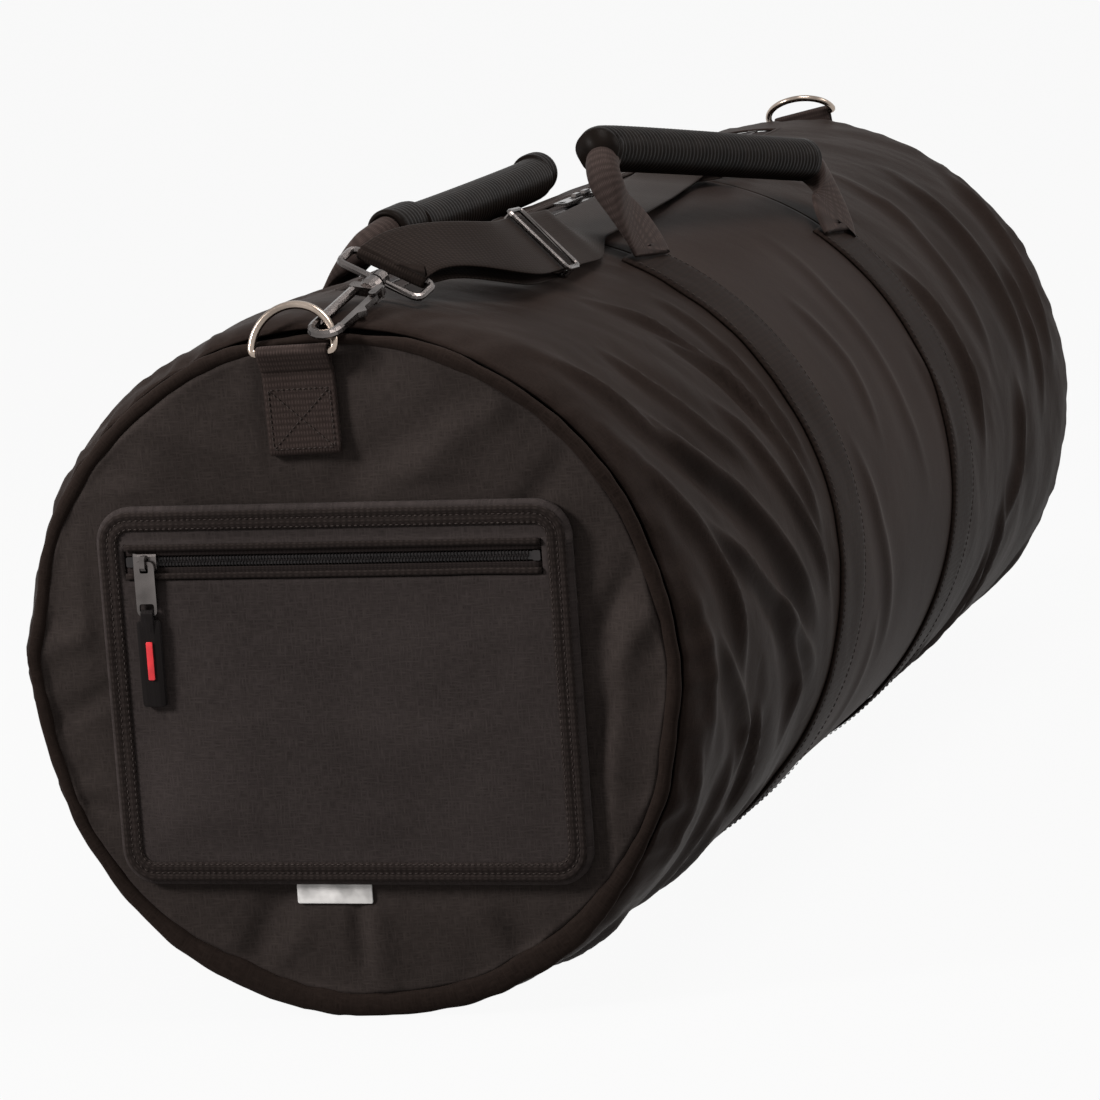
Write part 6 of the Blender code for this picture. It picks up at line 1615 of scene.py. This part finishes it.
def strap_route():
    """Stations of the upper and the lower layer of the strap."""
    catch = Vector(FRONT_CATCH) + UP
    front_way = Vector((-0.28, -0.9, -0.34)).normalized()
    swivel = catch - front_way * (HOOK_REACH - HOOK_WIRE - 4 * GAP - RING_WIRE / 2)
    heading = Vector((-0.04, 1.0, -0.06)).normalized()
    width = Vector((cos(SLIDE_TILT), 0, -sin(SLIDE_TILT)))
    width = (width - heading * width.dot(heading)).normalized()
    place = Vector(SLIDE_PLACE) + UP
    out = width.cross(heading)
    turn = local_frame(swivel, front_way, (0.42, -0.1, 0.9)).to_3x3()
    front_width, front_up = turn.col[1].copy(), turn.col[2].copy()
    loop = half_turn(swivel - front_way * EYE_DEPTH, WRAP, -front_up, front_way, front_width)
    rear_way = Vector((0.25, 0.96, -0.05)).normalized()
    rear_centre = on_barrel(*REAR_EYE)
    rear_up = Vector((REAR_EYE[0], 0, BARREL_RADIUS)).normalized()
    rear_up = (rear_up - rear_way * rear_up.dot(rear_way)).normalized()
    rear_width = rear_way.cross(rear_up)
    knots = [(loop[-1][0], -front_way, front_width), (place - heading * 38 * MM, heading, width),
             (place, heading, width), (place + heading * 62 * MM, heading, width)]
    ways = [Vector((b[0] - a[0], b[1] - a[1], 0)).normalized() for a, b in zip(LYING, LYING[1:])]
    for (x, y), way in zip(LYING, ways + [ways[-1]]):
        knots.append((on_barrel(x, y, LYING_LIFT), way, surface_width(x)))
    knots.append((rear_centre + rear_up * WRAP, rear_way, rear_width))
    stations = loop[:-1]
    for start, end in zip(knots[:2], knots[1:]):
        stations += between(start, end)
    front_run = stations[len(loop) - 1:] + [(knots[2][0], width)]
    for start, end in zip(knots[2:], knots[3:]):
        stations += between(start, end)
    rear_loop = half_turn(rear_centre, WRAP, rear_up, rear_way, rear_width)
    stations += rear_loop + [(rear_loop[-1][0] - rear_way * SEWN_END_LENGTH, rear_width)]
    drop = STRAP_THICKNESS * 1.5 + 3 * GAP + ADJUSTER_WIRE / 2
    small = ADJUSTER_WIRE / 2 + GAP + STRAP_THICKNESS / 2
    lower = below(front_run, 2 * WRAP + 3 * GAP, drop + small, loop[0][0] - front_way * STRAP_THICKNESS,
                  -front_way)
    over = half_turn(place - out * drop, small, -out, heading, width)
    lower = lower[:-1] + over + [(over[-1][0] - heading * STRAP_WIDTH / 2, width)]
    return stations, lower


def strap_piece(name, stations, node):
    """Strap webbing along a smooth line through its stations."""
    centres = line_through([tuple(centre) for centre, width in stations], 3)
    widths = line_through([tuple(width) for centre, width in stations], 3)
    ribbon(name, centres, widths, STRAP_WIDTH, STRAP_THICKNESS, black_webbing, node)
    print(f"{name}: {round(float(run_lengths(centres)[-1]), 3)} m long")


upper_stations, lower_stations = strap_route()
strap_piece("strap_upper_layer", upper_stations, "strap_webbing")
strap_piece("strap_doubled_end", lower_stations, "strap_lower_layer")

# %% [markdown]
# ## Metal and moulded parts
# The sliders, pulls, hooks, gates, pins, slide and stops keep their own solids, which
# already have the right form. They only get a finish: plated metal, and moulded plastic
# for the pocket zip's stops.

# %% Plated parts
plated = [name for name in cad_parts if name.endswith(("_body", "_gate", "_pin", "_eye"))]
plated += [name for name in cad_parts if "slider" in name or "stop" in name]
plated += ["main_pull_front", "main_pull_rear", "pocket_pull", "strap_adjuster"]
for name in plated:
    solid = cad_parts[name]
    solid.data.materials.clear()
    solid.data.materials.append(coil_plastic if "pocket_stop" in name else black_nickel)
print("plated parts:", len(plated))

# %% [markdown]
# ## Floor, light and camera
# The floor and the background are white for the camera and for reflections, through
# Light Path, so that the lamps can stay at a level where black cloth keeps its colour.
# A strong soft lamp stands to the left in front, a weak one to the right behind, and
# one overhead shows the barrel's creases.

# %% White floor and world
def white_for_camera(tree, surface, share):
    """Mixes a plain white glow into a surface, only where the camera or a reflection looks."""
    rays = tree.nodes.new("ShaderNodeLightPath").outputs
    seen = combine(tree, "MAXIMUM", rays["Is Camera Ray"], rays["Is Glossy Ray"])
    seen = combine(tree, "MAXIMUM", seen, rays["Is Transmission Ray"])
    glow = add_node(tree, "ShaderNodeEmission" if surface.type != "BACKGROUND" else "ShaderNodeBackground",
                    Color=(1.0, 1.0, 1.0, 1.0), Strength=1.0)
    mix = tree.nodes.new("ShaderNodeMixShader")
    for socket, value in zip(mix.inputs, (combine(tree, "MULTIPLY", seen, share), surface.outputs[0],
                                          glow.outputs[0])):
        tree.links.new(value, socket)
    return mix.outputs[0]


FLOOR_REACH, FLOOR_DROP = 30.0, 0.2 * MM
FLOOR_DARK, FLOOR_LIGHT, FLOOR_WHITE = (0.24,) * 3, (0.28,) * 3, 0.94
floor_mesh = bpy.data.meshes.new("studio_floor")
corners = [(x * FLOOR_REACH, y * FLOOR_REACH, 0) for x, y in ((-1, -1), (1, -1), (1, 1), (-1, 1))]
floor_mesh.from_pydata(corners, [], [(0, 1, 2, 3)])
floor = linked("studio_floor", floor_mesh)
floor.location.z = -FLOOR_DROP
floor_paint, tree, shader = new_finish("floor_paint")
grain = add_node(tree, "ShaderNodeTexNoise", Scale=40.0, Detail=2.0).outputs["Fac"]
set_inputs(tree, shader, Base_Color=ramp(tree, grain, ((0.0, FLOOR_DARK), (1.0, FLOOR_LIGHT))),
           Roughness=0.9, Specular_IOR_Level=0.0)
set_inputs(tree, tree.nodes["Material Output"], Surface=white_for_camera(tree, shader, FLOOR_WHITE))
floor_mesh.materials.append(floor_paint)

world = bpy.data.worlds.new("studio")
bpy.context.scene.world = world
world.use_nodes = True
tree = world.node_tree
sky = tree.nodes["Background"]
set_inputs(tree, sky, Color=(1.0, 0.95, 0.92, 1.0), Strength=0.24)
set_inputs(tree, tree.nodes["World Output"], Surface=white_for_camera(tree, sky, 1.0))
print("floor side in metres:", 2 * FLOOR_REACH)

# %% Lamps
def lamp(name, place, aim, size, watts, colour):
    """A round area lamp aimed at a place."""
    light = bpy.data.lights.new(name, "AREA")
    light.shape, light.size, light.energy, light.color = "DISK", size, watts, colour
    made = linked(name, light)
    made.location = place
    made.rotation_euler = (Vector(aim) - Vector(place)).to_track_quat("-Z", "Y").to_euler()


lamp("left_front_lamp", (-2.2, -1.9, 1.8), (0, -0.35, 0.2), 0.8, 98, (1.0, 0.96, 0.94))
lamp("right_lamp", (2.3, 0.9, 1.3), (0, 0, 0.2), 0.7, 17, (1.0, 0.94, 0.91))
lamp("overhead_lamp", (0.7, -0.5, 2.3), (0, 0, 0.2), 1.0, 40, (1.0, 0.96, 0.94))
print("lamps:", len(bpy.data.lights))

# %% Camera at the photograph's viewing angle
CAMERA_PLACE = (0.84254903, -2.73711996, 0.61589064)
CAMERA_RIGHT = Vector((0.95209468, 0.29013326, -0.09663544))
CAMERA_UP = Vector((0.04444415, 0.18136716, 0.98241064))
CAMERA_BACK = Vector((0.3025565, -0.93964283, 0.15978398))
lens = bpy.data.cameras.new("view")
lens.lens, lens.sensor_width, lens.clip_end = 166.43, 36.0, 100.0
camera = linked("view", lens)
turn = Matrix((CAMERA_RIGHT, CAMERA_UP, CAMERA_BACK)).transposed().to_4x4()
camera.matrix_world = Matrix.Translation(CAMERA_PLACE) @ turn
bpy.context.scene.camera = camera
bpy.context.scene.view_settings.view_transform = "Standard"
print("camera distance in metres:", round(Vector(CAMERA_PLACE).length, 3))
